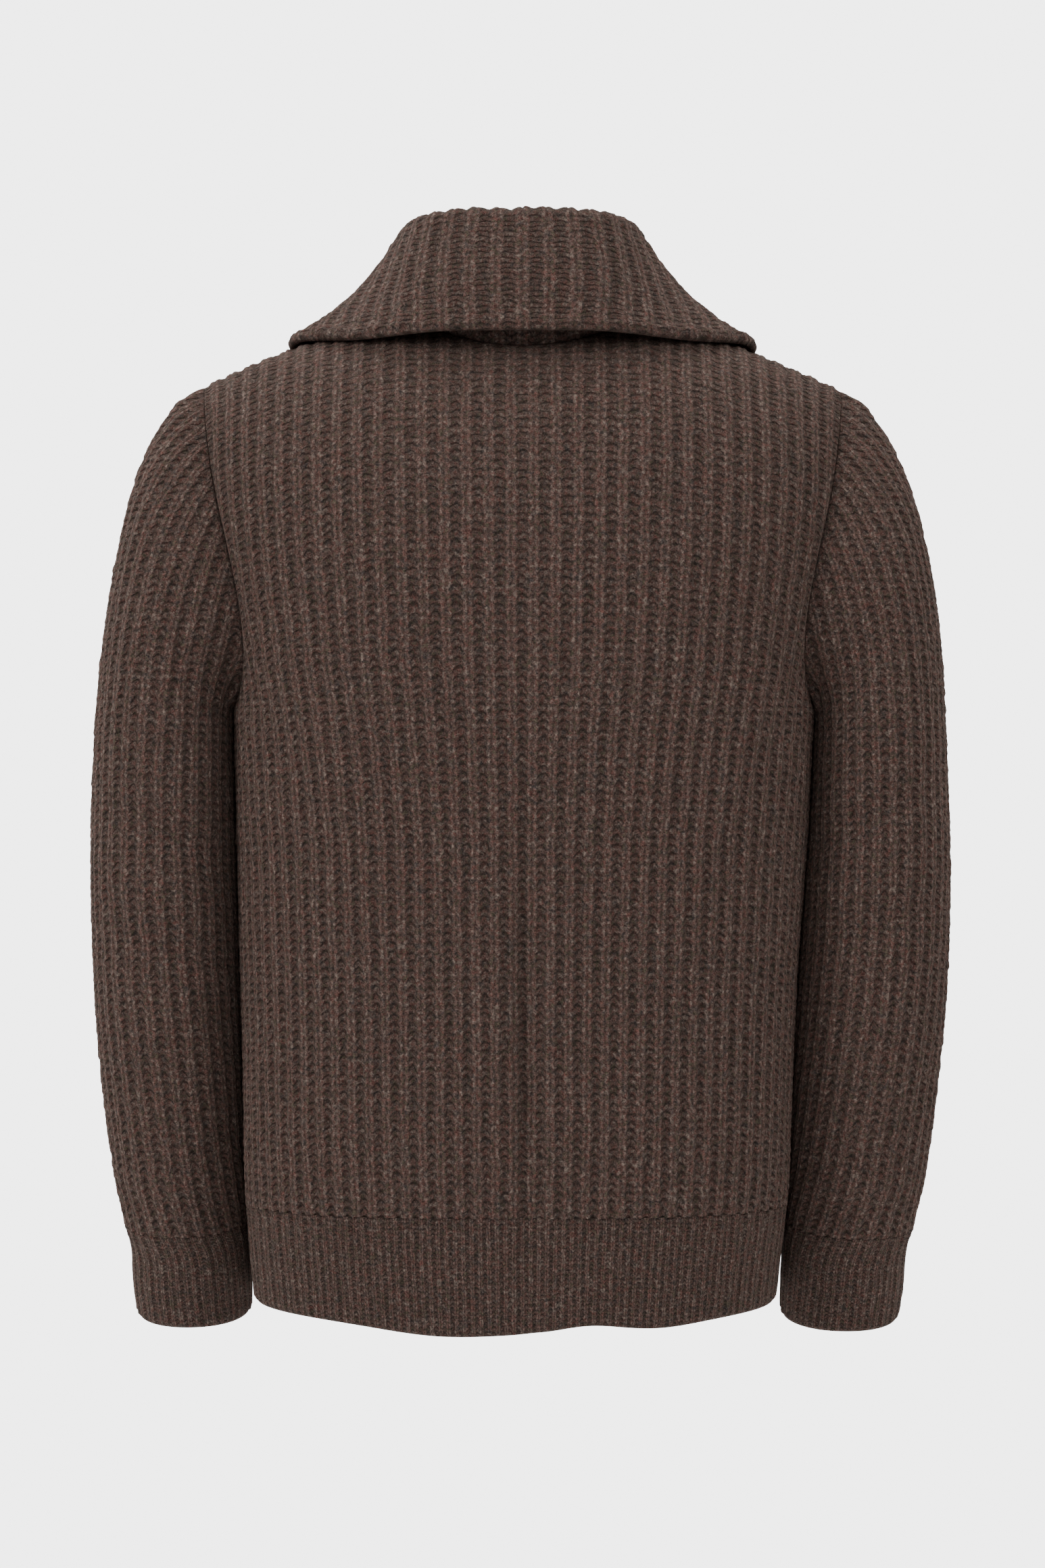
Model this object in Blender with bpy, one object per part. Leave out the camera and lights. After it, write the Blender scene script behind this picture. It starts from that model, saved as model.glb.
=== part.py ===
"""Zip-up cardigan in heavy rib knit, filled out as it is worn, with nobody in it.

Metres, +Z up. The front faces -Y, and the wearer's left is +X. The origin is in the middle of the neck,
level with the back neck seam, where the wearer's neck and shoulders carry the garment. Every cloth piece
is a closed wall, open at neck, hem and cuffs, and neighbours are a seam's gap apart.
"""

import functools
import math

import bmesh
import bpy
import numpy as np

# Cloth
KNIT = 0.0045  # wall of the rib knit
SEAM = 0.0003  # gap left at every seam
SIDE_LIFT = 0.00018  # moves front and back apart, to leave the gap of the side and shoulder seams
EDGE_LIFT = 0.0009  # the same where a sleeve or the collar meets the body at a slant
ROUND = 2.6  # roundness of a torso section: 2 is an ellipse, higher is squarer
SMOOTH_BELOW = 50  # degrees between two faces that are shaded as one surface

# Faces along each piece
NECK_COLUMNS = 6  # on half a panel, ending on the neckline
SHOULDER_COLUMNS = 7  # the rest of the half, out to the armhole
LOWER_ROWS = 6
UPPER_ROWS = 9
SLEEVE_ROWS = 17
CUFF_ROWS = 3
HEM_ROWS = 3
FOLD_FACES = 4
DENSE = 3  # the direction of the thickness is measured on a grid this many times finer
PROFILE_POINTS = 161
SEARCH_STEPS = 181

# Torso from the armpits to the lower edge: height, half-widths, depths behind and in front
ARMPIT_Z = -0.250
TORSO_COLUMNS = ("z", "left", "right", "back", "front")
TORSO = (
    (-0.250, 0.1950, 0.1970, 0.1120, 0.1220),
    (-0.330, 0.1935, 0.1930, 0.1110, 0.1215),
    (-0.420, 0.1910, 0.1865, 0.1085, 0.1190),
    (-0.500, 0.1890, 0.1825, 0.1070, 0.1160),
    (-0.583, 0.1870, 0.1790, 0.1060, 0.1130),
    (-0.622, 0.1840, 0.1745, 0.1030, 0.1095),
    (-0.660, 0.1800, 0.1700, 0.1000, 0.1065),
)
BAND_TOP_Z = -0.583  # the narrower rib of the hem starts here
HEM_SIDE_Z = -0.648
HEM_BACK_DROP = 0.011  # the hem hangs this much lower at the centre back than at the sides
HEM_FRONT_DROP = 0.004

# Shoulders and neck
CREST_Y = -0.005  # the shoulder seams run along the top, this far forward of the middle
NECK_X = 0.080
NECK_Z = 0.018
NECK_BACK_Y = 0.056
SHOULDER_X = 0.2165
SHOULDER_Z = -0.032
SHOULDER_CURVE = 1.25
BACK_ARCH = 3.0  # how square the back turns over into the shoulders
SHOULDER_ROUND = 2.3  # roundness near the shoulders, where the sections are softer
STEEPEST = 0.95  # keeps a section from ending before it has turned
VEE_Z = -0.215  # the zip and the collar meet here
VEE_BOW = 0.9
FRONT_EDGE_X = 0.0055  # each front stops this far from the centre line

# Armholes
ARMHOLE_HALF = 0.050  # half-width from back to front
ARMHOLE_EGG = 0.25
ARMHOLE_LEAN = 0.25  # how far the seam's thickness leans in at the shoulder's tip, and three times it below
ARMHOLE_DENT = 0.0073  # the seam swings in towards the shoulder blade by this much

# Sleeves: outer and inner outline (x, z), middle and half-depth (y), slant of the ring towards the back
SLEEVE_COLUMNS = ("outer_x", "outer_z", "inner_x", "inner_z", "mid_y", "half_y", "slant")
SLEEVE_LEFT = (
    (0.2165, -0.0320, 0.1950, -0.2500, 0.000, 0.0500, 0.00),
    (0.2345, -0.0425, 0.1958, -0.2465, 0.000, 0.0540, 0.00),
    (0.2535, -0.0700, 0.1963, -0.2475, 0.000, 0.0580, 0.00),
    (0.2655, -0.1030, 0.1965, -0.2535, 0.000, 0.0610, 0.00),
    (0.2745, -0.1430, 0.1963, -0.2650, 0.000, 0.0630, 0.00),
    (0.2820, -0.1850, 0.1960, -0.2820, 0.000, 0.0640, 0.00),
    (0.2875, -0.2300, 0.1955, -0.3050, 0.000, 0.0640, -0.02),
    (0.2915, -0.2900, 0.1946, -0.3400, -0.001, 0.0630, -0.04),
    (0.2930, -0.3650, 0.1931, -0.3950, -0.004, 0.0610, -0.07),
    (0.2915, -0.4400, 0.1915, -0.4560, -0.009, 0.0580, -0.10),
    (0.2870, -0.5050, 0.1901, -0.5120, -0.016, 0.0540, -0.13),
    (0.2800, -0.5650, 0.1889, -0.5660, -0.024, 0.0500, -0.15),
    (0.2730, -0.6000, 0.1880, -0.5980, -0.028, 0.0470, -0.16),
)
CUFF_LEFT = (
    (0.2730, -0.6003, 0.1880, -0.5983, -0.028, 0.0470, -0.16),
    (0.2672, -0.6170, 0.1874, -0.6140, -0.030, 0.0440, -0.16),
    (0.2650, -0.6400, 0.1868, -0.6370, -0.033, 0.0430, -0.16),
    (0.2610, -0.6630, 0.1868, -0.6620, -0.036, 0.0425, -0.16),
)
SLEEVE_RIGHT = (
    (0.2165, -0.0320, 0.1970, -0.2500, 0.000, 0.0500, 0.00),
    (0.2325, -0.0425, 0.1978, -0.2465, 0.000, 0.0540, 0.00),
    (0.2505, -0.0700, 0.1982, -0.2475, 0.000, 0.0580, 0.00),
    (0.2645, -0.1030, 0.1982, -0.2535, 0.000, 0.0610, 0.00),
    (0.2745, -0.1430, 0.1977, -0.2650, 0.000, 0.0630, 0.00),
    (0.2815, -0.1850, 0.1970, -0.2820, 0.000, 0.0640, 0.00),
    (0.2855, -0.2300, 0.1958, -0.3050, 0.000, 0.0640, -0.02),
    (0.2885, -0.2900, 0.1936, -0.3400, -0.001, 0.0630, -0.04),
    (0.2905, -0.3650, 0.1896, -0.3950, -0.003, 0.0610, -0.07),
    (0.2885, -0.4400, 0.1859, -0.4560, -0.007, 0.0580, -0.10),
    (0.2830, -0.5050, 0.1833, -0.5120, -0.013, 0.0540, -0.13),
    (0.2755, -0.5650, 0.1810, -0.5660, -0.020, 0.0500, -0.15),
    (0.2680, -0.6010, 0.1795, -0.5980, -0.024, 0.0470, -0.16),
)
CUFF_RIGHT = (
    (0.2680, -0.6013, 0.1795, -0.5983, -0.024, 0.0470, -0.16),
    (0.2615, -0.6180, 0.1788, -0.6150, -0.026, 0.0440, -0.16),
    (0.2590, -0.6410, 0.1780, -0.6380, -0.029, 0.0430, -0.16),
    (0.2545, -0.6650, 0.1776, -0.6640, -0.032, 0.0425, -0.16),
)
SLEEVE_ROUND = 2.15
ARMHOLE_FADE = 4.0  # rows of the table over which the armhole's shape gives way to the sleeve's

# Collar: one band from the neck seam up to the fold and down to its free edge. Each row is a station
# along the seam, 0 at the centre back and 1 at the zip, with the fold and the free edge there.
COLLAR_COLUMNS = ("share", "fold_x", "fold_y", "fold_z", "edge_x", "edge_y", "edge_z", "hollow")
COLLAR = (
    (0.00, 0.000, 0.0580, 0.0780, 0.000, 0.0785, -0.0020, -0.003),
    (0.10, 0.038, 0.0540, 0.0780, 0.058, 0.0755, -0.0020, -0.002),
    (0.19, 0.064, 0.0370, 0.0770, 0.112, 0.0545, -0.0020, 0.003),
    (0.26, 0.077, 0.0060, 0.0750, 0.153, 0.0080, -0.0005, 0.006),
    (0.36, 0.078, -0.0330, 0.0540, 0.153, -0.0480, -0.0190, 0.006),
    (0.50, 0.066, -0.0840, 0.0000, 0.140, -0.0930, -0.0690, 0.003),
    (0.66, 0.044, -0.1130, -0.0710, 0.112, -0.1115, -0.1230, 0.000),
    (0.82, 0.0245, -0.1275, -0.1390, 0.077, -0.1230, -0.1710, 0.000),
    (0.94, 0.0125, -0.1310, -0.1880, 0.048, -0.1265, -0.2050, 0.000),
    (1.00, 0.0110, -0.1315, -0.2120, 0.037, -0.1270, -0.2280, 0.000),
)
COLLAR_KNIT = 0.0050
COLLAR_FOLD = 0.0040  # radius of the hollow inside the fold
LEAF_PARTS = (0.25, 0.5, 0.75, 1.0)  # rows down the leaf
ZIP_FADE = 0.10  # the mitre of the neck seam straightens over this share of it, towards the zip
MITRE_LEAST = 0.75  # keeps a sharp mitre from growing long

# Zip, placed on the centre line of the front
TAPE_INNER_X = 0.0033
TAPE_WIDTH = 0.0130
TAPE_THICK = 0.0010
TAPE_GAP = 0.0006  # between the inside of the knit and the tape
CHAIN_HALF = 0.0029
CHAIN_THICK = 0.0026
SLIDER_HALF = 0.0048
SLIDER_TALL = 0.0130
PLATE_THICK = 0.0020
POST_HALF = 0.0012
POST_TALL = 0.0035
BAIL_HALF = 0.0011
BAIL_WINDOW = 0.0028
BAIL_THICK = 0.0011
BAIL_CORNER = 0.0006
BAIL_BELOW_TOP = 0.0050
BACK_PLATE_THICK = 0.0016
JOINED = 0.0005  # how far joined shapes run into each other
SLIDER_BELOW_STOP = 0.0011
PULL_HALF = 0.0037
PULL_SHOULDER_HALF = 0.0022
PULL_CHAMFER = 0.0008
PULL_LONG = 0.0300
PULL_THICK = 0.0014
PULL_BAR = 0.0013
PULL_WINDOW_HALF = 0.0017
PULL_WINDOW_TALL = 0.0052
BOX_HALF = 0.0042
BOX_TALL = 0.0080
BOX_LIFT = 0.0006
BOX_PROUD = 0.0004
BOX_EDGE = 0.0005
STOP_TALL = 0.0020
STOP_INNER_X = 0.0004
ZIP_ROWS = 28
SHARP_BELOW = 40  # degrees, for the metal pieces

WOOL = (0.117, 0.073, 0.060, 1.0)
TAPE_CLOTH = (0.060, 0.040, 0.034, 1.0)
BRASS = (0.180, 0.150, 0.110, 1.0)


def table_value(rows, columns, name, at, key=0):
    """A column of a table, read smoothly between its rows."""
    keys = np.array([row[key] for row in rows])
    values = np.array([row[columns.index(name)] for row in rows])
    return smooth(keys, values, at)


def smooth(keys, values, at):
    """Cubic through the points, with slopes from their neighbours."""
    if keys[0] > keys[-1]:
        keys, values = keys[::-1], values[::-1]
    slopes = np.gradient(values, keys)
    at = np.clip(np.asarray(at, float), keys[0], keys[-1])
    left = np.clip(np.searchsorted(keys, at, side="right") - 1, 0, len(keys) - 2)
    step = keys[left + 1] - keys[left]
    t = (at - keys[left]) / step
    rise = values[left + 1] - values[left]
    start = slopes[left] * step
    end = slopes[left + 1] * step
    bend = t**2 * (3 * rise - 2 * start - end) + t**3 * (start + end - 2 * rise)
    return values[left] + t * start + bend


def along(points, shares):
    """Points at the given shares of the length of a dense line."""
    length = np.concatenate([[0.0], np.cumsum(np.linalg.norm(np.diff(points, axis=0), axis=1))])
    return np.stack([np.interp(shares, length / length[-1], points[:, k]) for k in range(3)], axis=1)


def unit(vectors):
    return vectors / np.linalg.norm(vectors, axis=-1, keepdims=True)


def torso_width(side, z):
    return table_value(TORSO, TORSO_COLUMNS, "left" if side > 0 else "right", z)


def torso_depth(face, z):
    return table_value(TORSO, TORSO_COLUMNS, "back" if face > 0 else "front", z)


def shoulder_z(x):
    run = np.clip((np.abs(x) - NECK_X) / (SHOULDER_X - NECK_X), 0.0, 1.2)
    return NECK_Z - (NECK_Z - SHOULDER_Z) * run**SHOULDER_CURVE


def armhole(side, face, turn):
    """The armhole seam: turn is 0 at the shoulder's tip and pi at the armpit."""
    middle = (SHOULDER_Z + ARMPIT_Z) / 2
    half = (SHOULDER_Z - ARMPIT_Z) / 2
    down = (1 - np.cos(turn)) / 2
    width = SHOULDER_X + (torso_width(side, ARMPIT_Z) - SHOULDER_X) * down
    x = width - ARMHOLE_DENT * np.sin(turn) ** 2 * (1 - np.cos(turn)) ** 2
    y = ARMHOLE_HALF * np.sin(turn) * (1 - ARMHOLE_EGG * np.cos(turn))
    z = middle + half * np.cos(turn)
    return np.stack([side * x, face * y + CREST_Y * (1 - down) ** 4, z + 0 * x], axis=-1)


def armhole_wall(side, face, turn):
    """The direction of the cloth's thickness along the armhole seam, shared by body and sleeve."""
    inward = ARMHOLE_LEAN * (2 - np.cos(turn))
    return unit(np.stack([-side * inward, -face * np.sin(turn), -np.cos(turn)], axis=-1))


def section(side, half, start, depth, edge_ratio, power):
    """A quarter of a level line, from the centre to where its depth has shrunk to the edge's share."""
    stop = math.acos(edge_ratio ** (power / 2))
    turn = np.linspace(0, stop, PROFILE_POINTS)
    x = half * np.sin(turn) ** (2 / power)
    y = start + depth * np.cos(turn) ** (2 / power)
    return side * x, y


def lower_section(side, face, z, shares):
    """One level line below the armpits, from the centre line (share 0) to the side seam (share 1)."""
    x, y = section(side, torso_width(side, z), 0.0, face * torso_depth(face, z), 0.0, ROUND)
    return along(np.stack([x, y, np.full_like(x, z)], axis=1), shares)


def upper_level(side, face, turn):
    """Size of the level line that meets the armhole at the given turn, and how far up it lies."""
    rise = (1 + math.cos(turn)) / 2
    over = math.sqrt(max(0.0, 1 - rise**BACK_ARCH))
    start = CREST_Y * rise**4
    depth = (face * float(torso_depth(face, ARMPIT_Z)) - start) * max(over, 1e-4)
    edge_x, edge_y, _ = armhole(side, face, np.array([turn]))[0]
    ratio = min(STEEPEST, max(0.0, (edge_y - start) / depth))
    power = ROUND + (SHOULDER_ROUND - ROUND) * rise
    half = abs(edge_x) / (1 - ratio**power) ** (1 / power)
    return half, start, depth, ratio, power, rise


def upper_section(side, face, turn, shares):
    """One level line above the armpits, from the centre line to the armhole at the given turn."""
    half, start, depth, ratio, power, rise = upper_level(side, face, turn)
    x, y = section(side, half, start, depth, ratio, power)
    z = ARMPIT_Z + (shoulder_z(x) - ARMPIT_Z) * rise
    return along(np.stack([x, y, z], axis=1), shares)


def top_turn(side, face, share):
    """How far up a column runs: to the shoulder seam, or to the neckline."""
    if share * SHOULDER_X >= NECK_X - 1e-9:
        return 0.0
    turns = np.linspace(math.pi, 0, SEARCH_STEPS)
    column = np.array([upper_section(side, face, turn, [share])[0] for turn in turns])
    part = share * SHOULDER_X / NECK_X
    if face > 0:
        limit = CREST_Y + (NECK_BACK_Y - CREST_Y) * math.sqrt(1 - part**2)
        return float(np.interp(-limit, -column[:, 1], turns))
    limit = VEE_Z + (NECK_Z - VEE_Z) * part**VEE_BOW
    return float(np.interp(limit, column[:, 2], turns))


def hem_z(face, share):
    drop = HEM_BACK_DROP if face > 0 else HEM_FRONT_DROP
    return HEM_SIDE_Z - drop * np.cos(np.asarray(share) * math.pi / 2) ** 2


def body_rows(side, face, shares, lower, upper, bottom):
    """Rows of points up one half of a body panel, from `bottom` to the shoulder."""
    rows = []
    for z in np.linspace(bottom, ARMPIT_Z, lower + 1)[:-1]:
        rows.append(lower_section(side, face, z, shares))
    tops = [top_turn(side, face, share) for share in shares]
    for step in np.linspace(0, 1, upper + 1):
        line = []
        for share, top in zip(shares, tops):
            line.append(upper_section(side, face, math.pi + (top - math.pi) * step, [share])[0])
        rows.append(np.array(line))
    return np.array(rows)


def inward_normals(grid, outside):
    """Unit vectors across the cloth at each point, turned by the sign `outside`."""
    across = np.gradient(grid, axis=1)
    up = np.gradient(grid, axis=0)
    return unit(np.cross(across, up)) * outside


def new_material(name, colour, roughness, metallic):
    material = bpy.data.materials.new(name)
    material.use_nodes = True
    shader = material.node_tree.nodes["Principled BSDF"]
    shader.inputs["Base Color"].default_value = colour
    shader.inputs["Roughness"].default_value = roughness
    shader.inputs["Metallic"].default_value = metallic
    return material


def finish(name, mesh, material, smooth_below=None):
    """Makes the object from a bmesh, closed and with its faces pointing out."""
    bmesh.ops.recalc_face_normals(mesh, faces=mesh.faces)
    data = bpy.data.meshes.new(name)
    mesh.to_mesh(data)
    mesh.free()
    data.materials.append(material)
    obj = bpy.data.objects.new(name, data)
    bpy.context.scene.collection.objects.link(obj)
    if smooth_below is not None:
        data.shade_smooth()
        data.set_sharp_from_angle(angle=math.radians(smooth_below))
    return obj


def cloth_wall(name, outer, wall, material, ring=False):
    """A closed wall: the outer grid of points, and the same grid moved by the wall vectors."""
    rows, columns = outer.shape[:2]
    mesh = bmesh.new()
    skins = []
    for grid in (outer, outer + wall):
        skins.append([[mesh.verts.new(point) for point in row] for row in grid])
    spans = columns if ring else columns - 1
    for skin in skins:
        for r in range(rows - 1):
            for c in range(spans):
                d = (c + 1) % columns
                mesh.faces.new((skin[r][c], skin[r][d], skin[r + 1][d], skin[r + 1][c]))
    for r in (0, rows - 1):
        for c in range(spans):
            d = (c + 1) % columns
            mesh.faces.new((skins[0][r][c], skins[0][r][d], skins[1][r][d], skins[1][r][c]))
    if not ring:
        for c in (0, columns - 1):
            for r in range(rows - 1):
                mesh.faces.new((skins[0][r][c], skins[0][r + 1][c], skins[1][r + 1][c], skins[1][r][c]))
    bmesh.ops.triangulate(mesh, faces=mesh.faces[:], quad_method="SHORT_EDGE")
    return finish(name, mesh, material, SMOOTH_BELOW)


def box_mesh(mesh, low, high):
    """Adds a box between two corners."""
    made = bmesh.ops.create_cube(mesh, size=1.0)["verts"]
    for vert in made:
        for k in range(3):
            vert.co[k] = low[k] if vert.co[k] < 0 else high[k]
    return made


def neck_shares():
    """Columns of a body panel that end on the neckline, closer together towards the shoulder."""
    return NECK_X / SHOULDER_X * np.sin(np.linspace(0, math.pi / 2, NECK_COLUMNS + 1))


def body_shares():
    """Every column of half a body panel, then the same with more between them for measuring normals."""
    rest = np.linspace(NECK_X / SHOULDER_X, 1, SHOULDER_COLUMNS + 1)[1:]
    shares = np.concatenate([neck_shares(), rest])
    return np.interp(np.arange((len(shares) - 1) * DENSE + 1) / DENSE, np.arange(len(shares)), shares)


def thin(grid):
    return grid[::DENSE, ::DENSE]


@functools.lru_cache(maxsize=None)
def body_grid(side, face):
    """Dense outer points and unit wall vectors of half a body panel, centre line first."""
    shares = body_shares()
    grid = body_rows(side, face, shares, LOWER_ROWS * DENSE, UPPER_ROWS * DENSE, BAND_TOP_Z)
    if face < 0:
        grid[:, :, 0] += side * FRONT_EDGE_X * (1 - shares)
    wall = inward_normals(grid, side * face)
    low = LOWER_ROWS * DENSE
    wall[:low, -1] = (-side, 0, 0)
    wall[low:, -1] = armhole_wall(side, face, np.linspace(math.pi, 0, UPPER_ROWS * DENSE + 1))
    for c, share in enumerate(shares[:-1]):
        if share * SHOULDER_X >= NECK_X - 1e-9:
            x = abs(grid[-1, c, 0])
            slope = (shoulder_z(x + KNIT) - shoulder_z(x - KNIT)) / (2 * KNIT)
            wall[-1, c] = unit(np.array([side * slope, 0, -1.0]))
    wall[:, 0] = unit(wall[:, 0] * (0, 1, 1))
    grid[:, :, 1] += face * SIDE_LIFT
    return grid, wall


@functools.lru_cache(maxsize=None)
def neck_seam(side):
    """Half the neck seam from the centre back to the zip: points, share of its length, mitred wall."""
    line, wall = [], []
    for face in (1, -1):
        last = NECK_COLUMNS * DENSE + 1
        grid, panel_wall = (part[-1, :last:DENSE] for part in body_grid(side, face))
        line.append(grid if face > 0 else grid[-2::-1])
        wall.append(panel_wall if face > 0 else panel_wall[-2::-1])
    line, wall = halved(np.concatenate(line)), unit(halved(np.concatenate(wall)))
    length = np.concatenate([[0.0], np.cumsum(np.linalg.norm(np.diff(line, axis=0), axis=1))])
    share = length / length[-1]
    fold = collar_line("fold", side, share)
    stand = side * unit(np.cross(np.gradient(line, axis=0), fold - line))
    lean = unit(wall + stand)
    lean[0] = unit(lean[0] * (0, 1, 1))
    lean[:, 0] *= np.clip((1 - share) / ZIP_FADE, 0, 1)
    lean = unit(lean)
    spread = np.sum(lean * wall, axis=1, keepdims=True)
    return line, share, lean * KNIT / np.maximum(spread, MITRE_LEAST)


def collar_line(word, side, share):
    """A line of the collar's table, such as its fold, at each share of the seam."""
    columns = [table_value(COLLAR, COLLAR_COLUMNS, word + "_" + axis, share) for axis in "xyz"]
    return np.stack(columns, axis=1) * (side, 1, 1)


def body_half(side, face):
    """Outer points and wall vectors of half a body panel."""
    grid, wall = body_grid(side, face)
    grid, wall = thin(grid), thin(wall) * KNIT
    edge = neck_seam(side)[2][::2]
    top = edge[: NECK_COLUMNS + 1] if face > 0 else edge[::-1][: NECK_COLUMNS + 1]
    wall[-1, : NECK_COLUMNS + 1] = top
    return grid, wall


def mirror_join(left, right):
    """Joins two half grids at the centre line into one, running from right to left."""
    return np.concatenate([right[:, :0:-1], left], axis=1)


def band_half(side, face, rows):
    """Outer points and wall vectors of half a hem band."""
    shares = body_shares()
    bottom = hem_z(face, shares)
    grid = []
    for step in np.linspace(0, 1, rows * DENSE + 1):
        z = bottom + (BAND_TOP_Z - SEAM - bottom) * step
        line = [lower_section(side, face, level, [share])[0] for level, share in zip(z, shares)]
        grid.append(line)
    grid = np.array(grid)
    if face < 0:
        grid[:, :, 0] += side * FRONT_EDGE_X * (1 - shares)
    wall = inward_normals(grid, side * face)
    wall[:, -1] = (-side, 0, 0)
    wall[:, 0] = unit(wall[:, 0] * (0, 1, 1))
    grid[:, :, 1] += face * SIDE_LIFT
    return thin(grid), thin(wall) * KNIT


def body_panels(wool):
    back = [body_half(side, 1) for side in (1, -1)]
    cloth_wall("back", mirror_join(back[0][0], back[1][0]), mirror_join(back[0][1], back[1][1]), wool)
    bands = [band_half(side, 1, HEM_ROWS) for side in (1, -1)]
    cloth_wall("hem_back", mirror_join(bands[0][0], bands[1][0]), mirror_join(bands[0][1], bands[1][1]), wool)
    for side, word in ((1, "left"), (-1, "right")):
        outer, wall = body_half(side, -1)
        cloth_wall("front_" + word, outer, wall, wool)
        outer, wall = band_half(side, -1, HEM_ROWS)
        cloth_wall("hem_front_" + word, outer, wall, wool)


def sleeve_ring(rows, side, at, turns):
    """One ring round the arm. Turns run from the outer line over the back, the underarm and the front."""
    keys = np.arange(len(rows), dtype=float)
    row = {}
    for k, name in enumerate(SLEEVE_COLUMNS):
        row[name] = float(smooth(keys, np.array([values[k] for values in rows]), at))
    outer = np.array([side * row["outer_x"], row["outer_z"]])
    inner = np.array([side * row["inner_x"], row["inner_z"]])
    power = 2 / SLEEVE_ROUND
    c = np.sign(np.cos(turns)) * np.abs(np.cos(turns)) ** power
    s = np.sign(np.sin(turns)) * np.abs(np.sin(turns)) ** power
    x = (outer[0] + inner[0]) / 2 + (outer[0] - inner[0]) / 2 * c
    y = row["mid_y"] + row["half_y"] * s
    z = (outer[1] + inner[1]) / 2 + (outer[1] - inner[1]) / 2 * c + row["slant"] * row["half_y"] * s
    return np.stack([x, y, z], axis=1)


def armhole_ring(side, turns):
    folded = np.where(turns <= math.pi, turns, 2 * math.pi - turns)
    back = armhole(side, 1, folded)
    front = armhole(side, -1, folded)
    return np.where((turns <= math.pi)[:, None], back, front)


def ring_wall(ring, side):
    """Unit vectors into a ring within its own plane; `ring` repeats a point at each end."""
    tangent = np.gradient(ring, axis=0)[1:-1]
    spokes = ring[1:-1] - ring[1:-1].mean(axis=0)
    axis = unit(np.cross(spokes, tangent).sum(axis=0))
    return unit(np.cross(axis, tangent))


def sleeve_grid(rows, side, around, along_count, from_armhole):
    turns = np.linspace(0, 2 * math.pi, around * DENSE + 1)[:-1]
    last = len(rows) - 1
    grid = []
    start = sleeve_ring(rows, side, 0.0, turns)
    for at in np.linspace(0, last, along_count * DENSE + 1):
        ring = sleeve_ring(rows, side, at, turns)
        if from_armhole:
            fade = max(0.0, 1 - at / ARMHOLE_FADE)
            fade = fade * fade * (3 - 2 * fade)
            ring = ring + fade * (armhole_ring(side, turns) - start)
        grid.append(ring)
    grid = np.array(grid)
    wrapped = np.concatenate([grid[:, -1:], grid, grid[:, :1]], axis=1)
    wall = inward_normals(wrapped, side)[:, 1:-1]
    seam = -1 if from_armhole else 0
    wall[seam] = ring_wall(wrapped[seam], side)
    if from_armhole:
        folded = np.where(turns <= math.pi, turns, 2 * math.pi - turns)
        back = armhole_wall(side, 1, folded)
        front = armhole_wall(side, -1, folded)
        wall[0] = np.where((turns <= math.pi)[:, None], back, front)
        tangent = np.gradient(wrapped[0], axis=0)[1:-1]
        away = unit(np.cross(tangent, wall[0]))
        grid[0] += away * np.sign(away[:, :1] * side) * EDGE_LIFT
    return thin(grid), thin(wall) * KNIT


def sleeves(wool):
    arms = ((1, "left", SLEEVE_LEFT, CUFF_LEFT), (-1, "right", SLEEVE_RIGHT, CUFF_RIGHT))
    for side, word, rows, cuff in arms:
        outer, wall = sleeve_grid(rows, side, 2 * UPPER_ROWS, SLEEVE_ROWS, True)
        cloth_wall("sleeve_" + word, outer, wall, wool, ring=True)
        outer, wall = sleeve_grid(cuff, side, 2 * UPPER_ROWS, CUFF_ROWS, False)
        cloth_wall("cuff_" + word, outer, wall, wool, ring=True)


def halved(points):
    """The same line with a point added in the middle of every stretch."""
    out = np.zeros((2 * len(points) - 1, 3))
    out[::2] = points
    out[1::2] = (points[:-1] + points[1:]) / 2
    return out


def collar_half(side):
    """Hidden side of the collar at each station, rows running from the seam over the fold to the edge."""
    seam, share, lean = neck_seam(side)
    folds, edges = collar_line("fold", side, share), collar_line("edge", side, share)
    hollows = table_value(COLLAR, COLLAR_COLUMNS, "hollow", share)
    away = unit(np.cross(np.gradient(seam, axis=0), lean))
    to_neck = np.array([0, 0, NECK_Z]) - seam * (1, 0, 0)
    lifts = away * np.sign(np.sum(away * to_neck, axis=1, keepdims=True)) * EDGE_LIFT
    lines = []
    for point, lift, fold, edge, hollow in zip(seam, lifts, folds, edges, hollows):
        up = unit(fold - point)
        out = edge - fold
        out = unit(out - up * (out @ up))
        foot = point + lift
        radius = min(COLLAR_FOLD, np.linalg.norm(fold - foot) / 3)
        middle = fold - up * radius
        turned = math.acos(up @ unit(edge - fold))
        turns = np.linspace(0, turned, FOLD_FACES + 1)
        arc = [middle + radius * (up * math.sin(turn) - out * math.cos(turn)) for turn in turns]
        leaf = edge - arc[-1]
        bow = unit(np.cross(leaf, np.cross(up, out))) * hollow
        line = [foot, (foot + arc[0]) / 2] + arc
        line += [arc[-1] + leaf * part - bow * math.sin(math.pi * part) for part in LEAF_PARTS]
        lines.append(np.array(line))
    return np.array(lines).transpose(1, 0, 2), lean


def collar(wool):
    left, lean_left = collar_half(1)
    right, lean_right = collar_half(-1)
    hidden = mirror_join(left, right)
    wall = inward_normals(hidden, 1) * COLLAR_KNIT
    wall[0] = np.concatenate([lean_right[:0:-1], lean_left])
    cloth_wall("collar", hidden, wall, wool)


def front_y(z):
    """Depth of the front's outer surface at the centre line."""
    if z <= ARMPIT_Z:
        return -float(torso_depth(-1, z))
    _, start, depth, _, _, _ = upper_level(1, -1, math.acos(2 * (z - ARMPIT_Z) / (NECK_Z - ARMPIT_Z) - 1))
    return start + depth


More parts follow.
